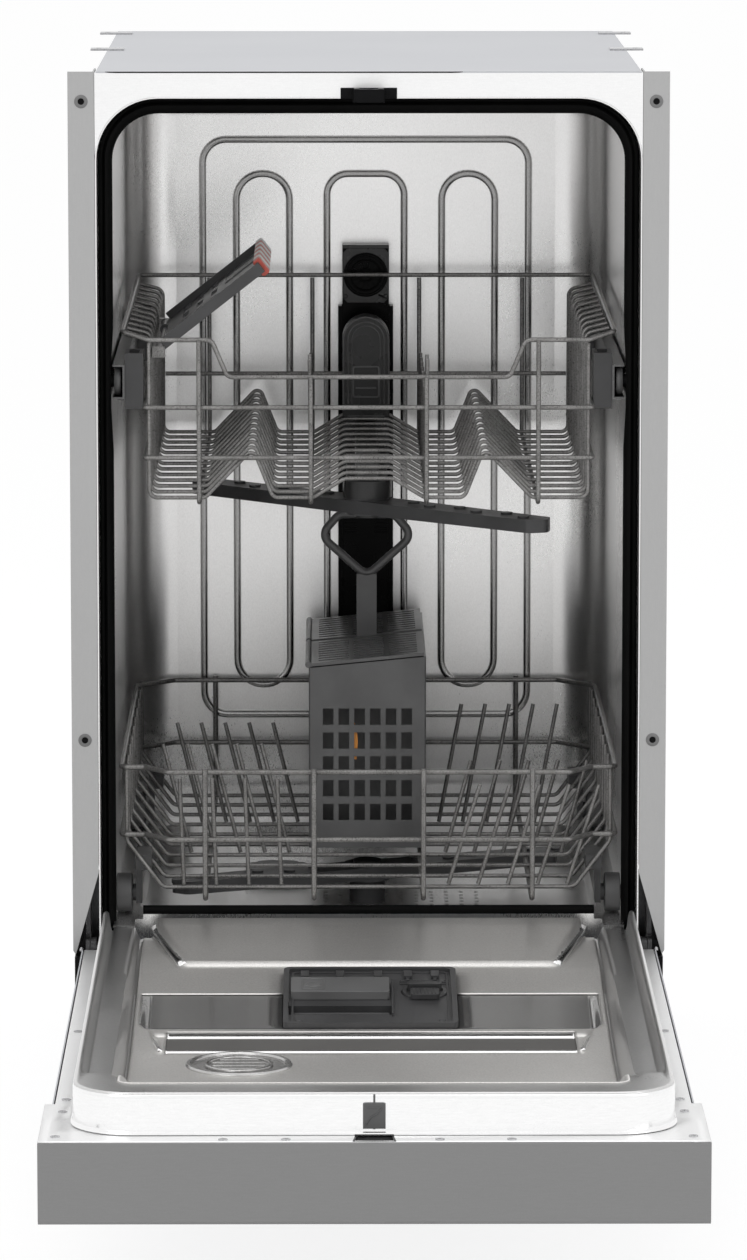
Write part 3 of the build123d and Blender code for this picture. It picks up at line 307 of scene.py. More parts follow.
hinge_steel = steel("hinge steel", (0.03, 0.03, 0.031), (0.07, 0.07, 0.072), 0.28, 0.45, tall_grain)
# Painted shade: a dark copy of the tub steel on the beads pressed out of the back wall
bead_painted_shade_steel = steel(
    "bead painted shade steel", (0.26, 0.258, 0.255), (0.38, 0.378, 0.375), 0.16, 0.26, tall_grain, grain=1500, depth=0.01
)
rail_steel = steel("rail steel", grey(0.08), grey(0.16), 0.25, 0.4, deep_grain)
screw_steel = steel("screw steel", grey(0.35, 0.01), grey(0.6, 0.01), 0.2, 0.35, even_grain)
vent_steel = steel("vent steel", (0.4, 0.395, 0.39), (0.6, 0.595, 0.59), 0.2, 0.32, even_grain)

black_rubber = plastic("black rubber", grey(0.002), grey(0.005), 0.5, 0.75, gloss=0.06)
black_plastic = plastic("black plastic", grey(0.002), grey(0.006, 0.001), 0.22, 0.4, gloss=0.09)
column_plastic = plastic("column plastic", grey(0.001), grey(0.003), 0.2, 0.36, gloss=0.07)
head_plastic = plastic("head plastic", grey(0.02), grey(0.034), 0.22, 0.36, gloss=0.4)
dark_plastic = plastic(
    "dark grey plastic", grey(0.04, 0.001), grey(0.07, 0.002), 0.3, 0.46, coat=0.1, gloss=0.4
)
grey_plastic = plastic("grey plastic", grey(0.095, 0.001), grey(0.14, 0.002), 0.3, 0.46, coat=0.1, gloss=0.4)
basket_plastic = plastic("basket plastic", grey(0.085, 0.001), grey(0.13, 0.001), 0.3, 0.44, coat=0.1)
lid_plastic = plastic("lid plastic", grey(0.12, 0.001), grey(0.17, 0.001), 0.26, 0.4, coat=0.2)
base_plastic = plastic("base plastic", grey(0.02, 0.001), grey(0.035, 0.001), 0.5, 0.7, gloss=0.3)
damping_mat = plastic("damping mat", grey(0.02), grey(0.04), 0.8, 0.95, grain=300, depth=0.4)
# Painted dark reflection: a dark grey on the groove's floor, standing in for the dark that the steel groove
# reflects
groove_painted_reflection_grey = plastic(
    "groove painted reflection", (0.135, 0.132, 0.128), (0.15, 0.147, 0.142), 0.6, 0.7, depth=0.02, gloss=0.1
)
grommet_grey = plastic("grommet", grey(0.16), grey(0.24), 0.35, 0.5)
# Painted highlight: a lighter, glossier copy of the duct's dark plastic on its raised rings, window frame and
# seams
duct_painted_highlight_plastic = plastic("duct painted highlight plastic", grey(0.08), grey(0.15, 0.001), 0.15, 0.3, gloss=0.6)
wheel_grey = plastic("wheel grey", grey(0.085, 0.001), grey(0.13, 0.001), 0.34, 0.5, coat=0.1)
tab_grey = plastic("latch tab", grey(0.09, 0.001), grey(0.12, 0.001), 0.35, 0.5)
signal_red = plastic("signal red", (0.42, 0.06, 0.04), (0.55, 0.09, 0.06), 0.3, 0.45, coat=0.2)
off_white = plastic("off white", (0.62, 0.6, 0.57), (0.74, 0.72, 0.69), 0.3, 0.45, coat=0.2)
orange_plastic = plastic("orange clip", (0.62, 0.22, 0.02), (0.75, 0.3, 0.04), 0.3, 0.45, coat=0.2)
rack_coat = coated("rack coat", (0.12, 0.117, 0.114), (0.3, 0.295, 0.288))

finishes = {
    "tub_liner": tub_steel, "front_frame": edge_steel, "tub_gasket": black_rubber, "top_panel": top_sheet,
    "side_panels": top_sheet, "rear_panel": top_sheet, "tub_blanket": damping_mat, "side_trims": trim_steel,
    "worktop_tabs": screw_steel, "door_striker": black_plastic, "hinge_brackets": hinge_steel,
    "hinge_covers": black_plastic, "door_springs": hinge_steel, "base_tray": base_plastic,
    "kick_panel": top_sheet, "levelling_feet": base_plastic, "spray_manifold": column_plastic,
    "sump_housing": base_plastic, "filter_plate": tub_steel, "softener_tank": base_plastic,
    "circulation_pump": base_plastic, "drain_pump": base_plastic, "water_connections": base_plastic,
    "roller_pins": black_plastic, "door_outer_panel": top_sheet, "door_liner": door_steel,
    "control_console": console_grey, "control_board": base_plastic, "door_pad": damping_mat,
    "door_latch": grey_plastic, "door_screws": screw_steel, "hinge_arms": hinge_steel,
    "dispenser_housing": dark_plastic, "door_vent": grey_plastic, "detergent_lid": grey_plastic,
    "rinse_cap": dark_plastic, "upper_rack_wires": rack_coat, "upper_rack_frame": rack_coat,
    "upper_rails": rail_steel, "rail_hangers": dark_plastic, "rack_feed_duct": head_plastic,
    "shelf_rod": rack_coat, "lower_rack_frame": rack_coat, "lower_rack_wires": rack_coat,
    "wheel_carriers": dark_plastic, "cutlery_basket": basket_plastic, "cutlery_lids": basket_plastic,
    "cup_shelf": dark_plastic, "upper_spray_arm": dark_plastic, "lower_spray_arm": dark_plastic,
    "filter_cup": dark_plastic, "salt_cap": dark_plastic,
}


def dress(obj, material):
    """Put one material on every slot of a node."""
    if not obj.material_slots:
        obj.data.materials.append(material)
    for place in obj.material_slots:
        place.material = material


for node_name, node in nodes.items():
    dress(node, finishes.get(node_name, dark_plastic))


# Shapes. Every shape is drawn in the carcase's millimetres and turned into metres once it is whole
def make_piece(name, shape, material, body, hides=(), bevel=0.0, sharp=35.0):
    """Finish a bmesh as a piece that rides on a body."""
    bmesh.ops.remove_doubles(shape, verts=shape.verts, dist=0.001)
    bmesh.ops.recalc_face_normals(shape, faces=shape.faces)
    for corner in shape.verts:
        corner.co = at(*corner.co)
    data = bpy.data.meshes.new(name)
    shape.to_mesh(data)
    shape.free()
    data.materials.append(material)
    data.shade_smooth()
    data.set_sharp_from_angle(angle=math.radians(sharp))
    piece = link(bpy.data.objects.new(name, data))
    if bevel:
        rounding = piece.modifiers.new("rounding", "BEVEL")
        rounding.width = bevel / 1000
        rounding.segments = 3
        rounding.limit_method = "ANGLE"
        rounding.angle_limit = math.radians(40)
        rounding.harden_normals = False
    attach(piece, body)
    if hides:
        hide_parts(*hides)
    return piece


def thicken(piece, thickness, offset):
    """Give a sheet its thickness: behind the face with an offset of -1, and on both sides with 0."""
    wall = piece.modifiers.new("sheet", "SOLIDIFY")
    wall.thickness = thickness / 1000
    wall.offset = offset


def keep_faces(shape, wanted):
    """Delete the faces whose middle isn't in a wanted place."""
    others = []
    for face in shape.faces:
        middle = face.calc_center_median()
        if not wanted(middle.x, middle.y):
            others.append(face)
    bmesh.ops.delete(shape, geom=others, context="FACES")


def turned(place, angle, axis):
    """Matrix of a place and of a turn in degrees about one axis."""
    return Matrix.Translation(place) @ Matrix.Rotation(math.radians(angle), 4, axis)


def about(middle, half):
    """Low and high end of a length about its middle."""
    return (middle - half, middle + half)


def on_side(side, near, far):
    """Low and high x of a length between two distances from the middle, on one side."""
    return sorted((side * near, side * far))


def add_box(shape, x, y, z, place=None):
    """Box between pairs of x, y and z, carried by a matrix where one is given."""
    corners = [Vector((a, b, c)) for a in x for b in y for c in z]
    if place is not None:
        corners = [place @ corner for corner in corners]
    made = [shape.verts.new(corner) for corner in corners]
    for face in ((0, 1, 3, 2), (4, 6, 7, 5), (0, 4, 5, 1), (2, 3, 7, 6), (0, 2, 6, 4), (1, 5, 7, 3)):
        shape.faces.new([made[k] for k in face])


def add_rows(shape, rows, close_rows=False, close_points=False):
    """Surface through rows of equally many points."""
    made = [[shape.verts.new(point) for point in row] for row in rows]
    last_row = len(rows) if close_rows else len(rows) - 1
    count = len(rows[0])
    last_point = count if close_points else count - 1
    for k in range(last_row):
        this, after = made[k], made[(k + 1) % len(rows)]
        for j in range(last_point):
            n = (j + 1) % count
            shape.faces.new((this[j], this[n], after[n], after[j]))
    return made


def add_loft(shape, rows):
    """Closed body through rows that each run round one section."""
    made = add_rows(shape, rows, close_points=True)
    shape.faces.new(made[0][::-1])
    shape.faces.new(made[-1])


def add_lathe(shape, profile, centre, axis, steps=32, closed=True, place=None):
    """Turned shape: the profile holds a radius and a distance along the axis for each point."""
    along = Vector(axis).normalized()
    side = along.orthogonal().normalized()
    across = along.cross(side)
    rows = []
    for k in range(steps):
        angle = 2 * math.pi * k / steps
        out = side * math.cos(angle) + across * math.sin(angle)
        row = [Vector(centre) + out * radius + along * height for radius, height in profile]
        if place is not None:
            row = [place @ point for point in row]
        rows.append(row)
    add_rows(shape, rows, close_rows=True, close_points=closed)


def add_tube(shape, points, radius, closed=False, sides=10):
    """Round bar along points."""
    path = [Vector(point) for point in points]
    count = len(path)
    turns = [2 * math.pi * j / sides for j in range(sides)]
    rows = []
    up = None
    for k in range(count):
        before = path[k - 1] if k or closed else path[k]
        after = path[(k + 1) % count] if k < count - 1 or closed else path[k]
        way = (after - before).normalized()
        up = way.orthogonal().normalized() if up is None else (up - way * up.dot(way)).normalized()
        across = way.cross(up)
        rows.append([path[k] + up * radius * math.cos(t) + across * radius * math.sin(t) for t in turns])
    if closed:
        add_rows(shape, rows, close_rows=True, close_points=True)
    else:
        add_loft(shape, rows)


def add_prism(shape, outline, low, high, place):
    """Outline in the place's x and y, drawn out along its z."""
    count = len(outline)
    floor_points = [shape.verts.new(place @ Vector((x, y, low))) for x, y in outline]
    roof_points = [shape.verts.new(place @ Vector((x, y, high))) for x, y in outline]
    shape.faces.new(floor_points[::-1])
    shape.faces.new(roof_points)
    for k in range(count):
        n = (k + 1) % count
        shape.faces.new((floor_points[k], floor_points[n], roof_points[n], roof_points[k]))


def add_frame(shape, outer, inner, low, high, place):
    """Flat ring between two outlines with equally many points."""
    rows = []
    for points, z in ((outer, low), (outer, high), (inner, high), (inner, low)):
        rows.append([place @ Vector((x, y, z)) for x, y in points])
    add_rows(shape, rows, close_rows=True, close_points=True)


def rounded_outline(half_x, half_y, radius, steps=6, centre=(0, 0)):
    """Rectangle with rounded corners, as a list of points."""
    points = []
    for turn, (sx, sy) in enumerate(((1, 1), (-1, 1), (-1, -1), (1, -1))):
        for k in range(steps + 1):
            angle = math.radians(90 * turn + 90 * k / steps)
            x = centre[0] + sx * (half_x - radius) + radius * math.cos(angle)
            y = centre[1] + sy * (half_y - radius) + radius * math.sin(angle)
            points.append((x, y))
    return points


def ease(value, start, end):
    """Smooth step from 0 at start to 1 at end."""
    t = min(max((value - start) / (end - start), 0), 1)
    return t * t * (3 - 2 * t)


def through(value, stops):
    """Straight runs through pairs of place and height."""
    if value <= stops[0][0]:
        return stops[0][1]
    for (a, low), (b, high) in zip(stops, stops[1:]):
        if value <= b:
            return low + (high - low) * (value - a) / (b - a)
    return stops[-1][1]


# Pressed sheet of the door: upright wall, rim, ledges, sloping bench and groove.
# The profiles and the rim's edge hold insets from the dish's edge, each with a height
wall_profile = (
    (-1.7, 153.8), (-1.6, 154.5), (-1.2, 155.1), (-0.6, 155.5), (-0.1, 156.0), (0, 157.0), (0, 177.5),
    (0.15, 179.2), (0.6, 180.6),
)
rim_edge = ((0.6, 180.6), (1.3, 181.5), (2.1, 181.9))
side_profile = (
    (2.8, rim_top), (3.6, 181.8), (4.4, 180.6), (5.0, 178.0), (5.4, 174.5), (5.8, 170.5), (6.6, 167.6),
    (7.4, ledge_z), (24.0, 166.0),
)
near_profile = (
    (2.8, rim_top), (30.0, 181.6), (33.0, 180.6), (36.0, 176), (39.0, 165), (43.0, 150), (48.0, 140),
    (54.0, dish_floor),
)
rim_insets = (
    2.8, 3.6, 4.4, 5, 5.4, 5.8, 6.2, 6.6, 7.4, 8.05, 9, 11.5, 14, 17, 20, 23, 24, 25, 26, 27, 28, 30,
)
sheet_insets = (
    30, 32, 33.5, 35, 36.5, 38, 39.5, 41, 42.5, 44, 46, 48, 50, 52, 54, 56, 59, 62, 66, 72, 80,
    95, 110, 125, 140.5, 160, 180, 201,
)

# Heights of the bench along its middle and beside it, and its half width, each by y
bench_line = (
    (-330, dish_floor), (-319, dish_floor), (-316, 137.8), (-314, 139.4), (-312.5, 139.9), (-309, 138.9),
    (-306, 137.3), (-262, 137.5), (-259, 139.3), (-255, 140.4), (-251, 139.7), (-246, 139.0), (-161, 148.7),
    (-100, 155.6), (-97.5, 157.4), (-95, 160.2), (-92, 160.6), (22, 170.0),
)
side_line = ((-330, dish_floor), (-161, 148.7), (-100, 155.6), (22, 157.0))
bench_width = (
    (-330, 146.0), (-314, 149.7), (-255, 158.5), (-246, 165.0), (-161, 165.0), (-101, 165.0), (-97, 139.0),
    (22, 164.0),
)

# Lines across the sheet, closer together where it bends
sheet_lines = (
    0, -6, -12, -18, -24, -30, -37, -44, -50, -57, -64, -70, -76, -82, -88, -92, -95, -97.5, -100, -103,
    -111.5, -120, -135, -150, -158, -161, -164, -175, -190, -205, -220, -230, -236.5, -242, -246, -248.5,
    -251, -253, -255, -257, -259, -260.5, -262, -266, -275, -285, -295, -302, -306, -307.5, -309, -311,
    -312.5, -314, -316, -319, -322, -326, -330, -345, -365, -385, -400, -415, -430,
)
last_line = sheet_lines[-1]
side_steps = 16
corner_steps = 10
near_steps = 60

# Stretches over which one form of the sheet passes into another: two by inset, and one by y
side_to_middle = (23.0, 28.0)
near_to_middle = (48.0, 56.0)
side_to_near = (500, 590)
bench_bend = 3


def dish_height(x, y, inset):
    """Height of the pressed sheet inside the rim."""
    span = through(y, bench_width)
    inside = 1 - ease(abs(x), span - bench_bend, span + bench_bend)
    middle = through(y, side_line) + (through(y, bench_line) - through(y, side_line)) * inside
    side = through(inset, side_profile)
    side += (middle - side) * ease(inset, *side_to_middle)
    near = through(inset, near_profile)
    near += (middle - near) * ease(inset, *near_to_middle)
    return side + (near - side) * ease(-y, *side_to_near)


def dish_row(inset, height=None):
    """One line round the dish at an inset from its edge, from the left hinge to the right one."""
    half = dish_half - inset
    end = -dish_end + inset
    radius = max(dish_corner - inset, 0)
    start = dish_front
    if inset > 8:
        start = 10.0
    if inset > 40:
        start = 22.0
    turn_y = end + radius
    side = [(-half, start)] + [(-half, y) for y in sheet_lines if y < start]
    skipped = len(sheet_lines) - len(side) + 1
    side = side[:1] * (skipped + 1) + side[1:]
    side += [(-half, last_line + (turn_y - last_line) * k / side_steps) for k in range(1, side_steps + 1)]
    corner = []
    for k in range(1, corner_steps + 1):
        angle = math.radians(90 * k / corner_steps)
        corner.append((-half + radius - radius * math.cos(angle), turn_y - radius * math.sin(angle)))
    reach = half - radius
    near = [(-reach + 2 * reach * k / near_steps, end) for k in range(1, near_steps)]
    left = side + corner
    plan = left + near + [(-x, y) for x, y in left[::-1]]
    if height is None:
        return [Vector((x, y, dish_height(x, y, inset))) for x, y in plan]
    return [Vector((x, y, height)) for x, y in plan]


def dish_zone(x, y):
    """Name of the piece that a spot of the pressed sheet belongs to."""
    x = abs(x)
    if x < dispenser_hole_x and dispenser_hole_y[0] < y < dispenser_hole_y[1]:
        return "open"
    if bench_near < y < bench_far and x < bench_half:
        return "bench_face"
    if bench_near < y < bench_far and x < facet_half:
        return "bench_facets"
    if x < groove_half and groove_floor_near < y < groove_floor_far:
        return "groove_floor"
    if x < groove_half and groove_near < y < groove_far:
        return "groove_lips"
    return "door_dish"


def sheet_piece(name, shape, material, hides=()):
    """Pressed sheet of the door, with its thickness on the side away from its face."""
    piece = make_piece(name, shape, material, "door", hides, sharp=60)
    thicken(piece, sheet_thickness, -1)


def door_dish():
    """Pressed dish of the door: its upright wall, its flat rim, and the sheet inside in five zones. The wall,
    the bench's facets and the groove's lips are a lighter copy of the door steel as painted highlight; the
    rim, the bench face and the groove floor are darker as painted dark reflection.
    """
    wall = bmesh.new()
    add_rows(wall, [dish_row(inset, height) for inset, height in wall_profile])
    sheet_piece("dish_wall", wall, painted_highlight_steel)
    rim = bmesh.new()
    rows = [dish_row(inset, height) for inset, height in rim_edge]
    add_rows(rim, rows + [dish_row(inset) for inset in rim_insets])
    sheet_piece("dish_rim_face", rim, rim_painted_reflection_steel)
    zones = (
        ("door_dish", door_steel), ("bench_face", bench_painted_reflection_steel), ("bench_facets", painted_highlight_steel),
        ("groove_floor", groove_painted_reflection_grey), ("groove_lips", painted_highlight_steel),
    )
    for name, material in zones:
        shape = bmesh.new()
        add_rows(shape, [dish_row(inset) for inset in sheet_insets])
        keep_faces(shape, lambda x, y: dish_zone(x, y) == name)
        sheet_piece(name, shape, material, ["door_liner"] if name == "door_dish" else [])


def add_strip(shape, side, start, length, steps, height, section):
    """Narrow strip that follows the bench's half width: the height depends on y."""
    rows = []
    for k in range(steps + 1):
        y = start + length * k / steps
        span = through(y, bench_width)
        rows.append([Vector((side * (span + across), y, height(y) + lift)) for across, lift in section])
    add_rows(shape, rows)


def pressed_edges():
    """Edges of the slope beside the mouth, and the slanted ends of the groove, bright from a painted
    highlight.
    """
    slope_section = ((-3.6, 2.4), (-2.2, 3.0), (0, 2.2), (2.0, 0.4), (3.2, -2.2))
    groove_section = ((-3.4, -0.6), (-1.4, 1.4), (0, 2.0), (1.4, 2.6), (2.6, 1.6))
    shape = bmesh.new()
    for side in (-1, 1):
        add_strip(
            shape, side, -96.5, 116.5, 12, lambda y: (through(y, side_line) + through(y, bench_line)) / 2,
            slope_section,
        )
        add_strip(shape, side, -256, -58, 8, lambda y: 138.6, groove_section)
    sheet_piece("pressed_edges", shape, painted_highlight_steel)


def in_flange(x, y):
    """Whether a spot is on the border: not in the dish, over the latch or past the liner's sides."""
    x = abs(x)
    in_dish = x < opening_half and y > opening_near
    in_dish_end = x < end_opening_half and y > end_opening_near
    over_latch = x < latch_half and latch_near < y < latch_far
    past_liner = x > liner_half and y > liner_end
    return not (in_dish or in_dish_end or over_latch or past_liner)


def door_flange():
    """Flat border round the dish, open over the latch."""
    shape = bmesh.new()
    right = [latch_half, end_opening_half, opening_half, liner_half, flange_half]
    xs = [-x for x in right[::-1]] + right
    ys = (flange_end, latch_near, latch_far, end_opening_near, opening_near, liner_end, flange_start)
    add_rows(shape, [[Vector((x, y, flange_height)) for x in xs] for y in ys])
    keep_faces(shape, in_flange)
    piece = make_piece("door_flange", shape, edge_steel, "door")
    thicken(piece, flange_thickness, 0)


# Mouth of the tub
seal_section = (
    (0.02, 39.8), (-0.2, 38.6), (-0.36, 36), (-0.3, 33), (-0.1, 30.4), (0.1, 28.6), (0.3, 27.9), (0.42, 28.9),
    (0.5, 31.2), (0.58, 28.9), (0.7, 27.6), (0.84, 28.4), (0.95, 31), (1.0, 34), (0.98, 39.8),
)
sill_section = (
    (37, 171), (36.6, 174), (37.2, 176), (39, 177), (42, 177), (43.6, 176), (44, 174), (44, 171), (41.2, 171),
    (41.2, 175.2), (39.7, 175.2), (39.7, 171),
)


def front_outline(half, top, radius, low):
    """Arch-shaped outline of the mouth from its left foot to its right one, as x and z."""
    foot_steps = 20
    arch_steps = 14
    top_steps = 10
    points = [(-half, low + (top - radius - low) * k / foot_steps) for k in range(foot_steps)]
    for k in range(arch_steps + 1):
        angle = math.radians(180 - 90 * k / arch_steps)
        points.append((-half + radius + radius * math.cos(angle), top - radius + radius * math.sin(angle)))
    points += [(-half + radius + (half - radius) * k / top_steps, top) for k in range(1, top_steps)]
    return points + [(0, top)] + [(-x, z) for x, z in points[::-1]]


def gasket():
    """Rubber seal with two lobes and an inner lip, narrower beside the rails, and the lip along the sill."""
    shape = bmesh.new()
    inner = front_outline(tub_half, tub_ceiling, tub_corner, seal_foot)
    outer = front_outline(seat_half - seat_gap, seat_top - seat_gap, seat_corner, seal_foot)
    rows = []
    for (x0, z0), (x1, z1) in zip(inner, outer):
        give = 1 - 0.6 * ease(z0, *rail_low) * (1 - ease(z0, *rail_high))
        row = []
        for t, y in seal_section:
            reach = t * give if t < 0 else t
            row.append(Vector((x0 + (x1 - x0) * reach, y, z0 + (z1 - z0) * reach)))
        rows.append(row)
    add_loft(shape, rows)
    add_loft(shape, [[Vector((x, y, z)) for y, z in sill_section] for x in (-sill_half, 0, sill_half)])
    make_piece("mouth_seal", shape, black_rubber, "cabinet", ["tub_gasket"], sharp=50)


def panel_seam():
    """Dark joint between the top panel and the front frame, rounded in front and thinner at its ends."""
    section = ((0.2, -1.0), (0.2, 0.0), (-0.35, 0.0), (-0.6, -0.3), (-0.6, -0.7), (-0.35, -1.0))
    stops = ((-196, 0.3), (-193, 0.8), (-188, 1.0), (62, 1.0), (67, 0.8), (70, 0.3))
    shape = bmesh.new()
    add_loft(shape, [[(x, y * give, seam_height + z * give) for y, z in section] for x, give in stops])
    make_piece("panel_seam", shape, black_rubber, "cabinet")


def trim_grommets():
    """Dished rings in the screw holes of the side trims, and black discs in them as painted shade of the
    holes.
    """
    ring = ((2.3, 0.6), (2.3, -0.2), (2.9, -0.7), (4.2, -0.65), (5.0, -0.25), (5.2, 0.6))
    hole_shade_section = ((0, -0.3), (2.9, -0.3), (3.0, 0.4), (0, 0.4))
    rings = bmesh.new()
    hole_shade_discs = bmesh.new()
    for side in (-1, 1):
        for z in trim_hole_heights:
            centre = (side * trim_hole_x, 0, z)
            add_lathe(rings, ring, centre, deep, steps=28)
            add_lathe(hole_shade_discs, hole_shade_section, centre, deep, steps=24, closed=False)
    # Painted shade: black discs in place of the dark inside the holes
    make_piece("trim_hole_shade", hole_shade_discs, black_plastic, "cabinet")
    make_piece("trim_grommets", rings, grommet_grey, "cabinet")


def striker():
    """Fixed half of the lock: a plate with two stepped wings and a looped tongue."""
    screw = ((0, -1.5), (1.7, -1.5), (2.3, -1.35), (2.3, -0.9), (0, -0.9))
    shape = bmesh.new()
    add_box(shape, (-12, 12), (-1.4, -0.1), (792, 803))
    for side in (-1, 1):
        add_box(shape, on_side(side, 11, 21), (-1.0, -0.1), (795, 803))
        add_box(shape, on_side(side, 12.6, 20), (-1.4, -0.9), (797, 802.4))
        add_box(shape, on_side(side, 4, 9.5), (-4.2, -1.4), (794, 802.4))
        add_box(shape, on_side(side, 7, 11), (-17, -1.4), (793, 803))
        add_lathe(shape, screw, (side * 16.5, 0, 799.6), deep, steps=16, closed=False)
    add_box(shape, (-11, 11), (-17, -13), (793, 803))
    add_box(shape, (-7.2, 7.2), (-6, -1.4), (796, 802))
    make_piece("lock_striker", shape, black_plastic, "cabinet", ["door_striker"], bevel=0.4)


# Dispenser, drawn in the frame of its tilted face
dispenser_place = turned((0, dispenser_y, dispenser_z), dispenser_tilt, "X")
face_height = 1.5
cup_x = -41.5
cup_y = 13.5
cap_x = 40


def dispenser_trim():
    """Inner frame, lid tracks, hinge clips, screws, ribs and the bars in the cup of the dispenser."""
    screw = ((0, 3.0), (2.2, 2.9), (2.8, 2.2), (2.8, face_height), (0, face_height))
    shape = bmesh.new()
    frame_out = rounded_outline(57.5, 60, 4)
    frame_in = rounded_outline(56, 58.5, 3)
    add_frame(shape, frame_out, frame_in, face_height, 2.6, dispenser_place)
    for x in (-60.5, 16.2):
        add_box(shape, about(x, 0.7), (-42, 34), (face_height, 4.4), dispenser_place)
    for x in (-48, -22, 6, 28, 48):
        add_box(shape, about(x, 3), (44, 57), (face_height, 4.6), dispenser_place)
        add_box(shape, about(x, 1.2), (38, 46), (face_height, 3.4), dispenser_place)
    for y in (-36, -32, -28, -24, -20):
        points = [(-58, y, -4.4), (-30, y, -4.2), (0, y, -4.2), (14, y, -4.4)]
        add_tube(shape, [dispenser_place @ Vector(point) for point in points], 1.5, sides=12)
    for x, y in ((-52, -52), (52, -52), (52, 38)):
        add_lathe(shape, screw, (x, y, 0), tall, steps=18, closed=False, place=dispenser_place)
    for y in (40, 36, 32):
        add_box(shape, (22, 58), about(y, 0.6), (face_height, 2.5), dispenser_place)
    make_piece("dispenser_trim", shape, dark_plastic, "door", bevel=0.3)


def lid_bar():
    """Sliding lid of the detergent cup with its square push button."""
    button = ((0, 8.3), (3.2, 8.35), (4.4, 8.6), (5.4, 8.5), (6.0, 7.9), (0, 7.9))
    centre = (cup_x, cup_y)
    shape = bmesh.new()
    add_prism(shape, rounded_outline(36, 17.5, 2, centre=(-22, cup_y)), 1.75, 8.0, dispenser_place)
    frame_out = rounded_outline(8.5, 12.5, 1.5, centre=centre)
    frame_in = rounded_outline(7.7, 11.7, 1.0, centre=centre)
    add_frame(shape, frame_out, frame_in, 7.9, 8.4, dispenser_place)
    add_lathe(shape, button, (cup_x, cup_y, 0), tall, steps=28, closed=False, place=dispenser_place)
    make_piece("lid_bar", shape, lid_plastic, "detergent_lid", ["detergent_lid"], bevel=0.5)


def rinse_grip():
    """Turning cap of the rinse-aid tank with a ribbed thumb tab."""
    profile = (
        (0, -9.7), (16.8, -9.7), (16.9, 1.8), (16.2, 3.0), (13.5, 3.4), (12.8, 2.4), (5, 2.2), (0, 2.3),
    )
    middle = (cap_x, 14, 0)
    shape = bmesh.new()
    add_lathe(shape, profile, middle, tall, steps=40, closed=False, place=dispenser_place)
    add_prism(shape, rounded_outline(12.5, 3.4, 2, centre=(cap_x, 17)), 2.0, 8.2, dispenser_place)
    add_prism(shape, rounded_outline(10.6, 8.0, 3, centre=(cap_x, 3.2)), 2.0, 6.2, dispenser_place)
    for k in range(-3, 4):
        add_box(shape, about(cap_x + 2.6 * k, 0.5), (-3.6, 8.5), (6.1, 6.7), dispenser_place)
    for k in range(24):
        turn = dispenser_place @ turned(middle, 15 * k, "Z")
        add_box(shape, (15.9, 16.95), (-0.5, 0.5), (-6, 2.2), turn)
    make_piece("rinse_grip", shape, dark_plastic, "rinse_cap", ["rinse_cap"], bevel=0.35)


def vent_grille():
    """Round vent of the dish floor: two turned rings over a flat disc, and four bars."""
    outer_ring = ((37.5, 0.1), (38, 1.6), (36.6, 3.0), (34.4, 3.1), (32.8, 1.8), (32.6, 0.1))
    disc = ((0, 0.3), (32.7, 0.3), (32.7, 1.0), (0, 1.0))
    inner_ring = ((24.0, 0.9), (24.4, 2.2), (23.2, 2.8), (21.8, 2.2), (21.6, 0.9))
    shape = bmesh.new()
    x, y, z = vent_centre
    add_lathe(shape, outer_ring, vent_centre, tall, steps=64)
    add_lathe(shape, disc, vent_centre, tall, steps=48, closed=False)
    add_lathe(shape, inner_ring, vent_centre, tall, steps=48)
    for k, reach in enumerate((13.5, 18.5, 18.5, 13.5)):
        add_box(shape, about(x, reach), about(y - 15 + 10 * k, 1.6), (z + 0.9, z + 2.2))
    make_piece("vent_grille", shape, vent_steel, "door", ["door_vent"], bevel=0.3)


# Back wall: each bead's left, right, foot, top and corner radius
back_beads = (
    (-136, 136, 251, 732, 22), (-108.5, -59.5, 276, 704, 24), (59.5, 108.5, 276, 704, 24),
    (-34.3, 34.3, 276, 704, 20),
)
bead_section = (
    (0.3, 0.2), (0.05, -1.9), (-0.5, -2.8), (-1.5, -3.2), (-2.75, -3.3), (-4.0, -3.2), (-5.0, -2.8),
    (-5.55, -1.9), (-5.8, 0.2),
)


def pressed_beads():
    """Rounded loops pressed out of the back wall, darkened as painted shade."""
    shape = bmesh.new()
    for x0, x1, z0, z1, radius in back_beads:
        centre = ((x0 + x1) / 2, (z0 + z1) / 2)
        rows = []
        for out, lift in bead_section:
            outline = rounded_outline((x1 - x0) / 2 + out, (z1 - z0) / 2 + out, radius + out, 10, centre)
            rows.append([Vector((x, tub_back + lift, z)) for x, z in outline])
        add_rows(shape, rows, close_points=True)
    make_piece("pressed_beads", shape, bead_painted_shade_steel, "cabinet", sharp=70)


# Riser on the back wall
def column_head():
    """Face plate of the riser's head with its round opening, the bar over it and two studs."""
    stud = ((0, -2.2), (1.4, -2.1), (1.9, -1.4), (1.9, 0), (0, 0))
    half_wide = 18.6
    half_tall = 22.5
    opening = 17.9
    count = 32
    outer = []
    inner = []
    for k in range(count):
        angle = 2 * math.pi * k / count
        c, s = math.cos(angle), math.sin(angle)
        reach = min(half_wide / max(abs(c), 1e-6), half_tall / max(abs(s), 1e-6))
        outer.append((c * reach, port_height - 0.5 + s * reach))
        inner.append((c * opening, port_height + s * opening))
    shape = bmesh.new()
    add_frame(shape, outer, inner, -0.5, 0.5, turned((0, riser_front - 0.6, 0), 90, "X"))
    add_box(shape, (-19.0, 19.0), (460.4, 477.5), (641.5, 644.5))
    for side in (-1, 1):
        add_lathe(shape, stud, (side * 16.6, riser_front - 1, 602.5), deep, steps=14, closed=False)
    make_piece("column_head", shape, head_plastic, "cabinet", bevel=0.35)


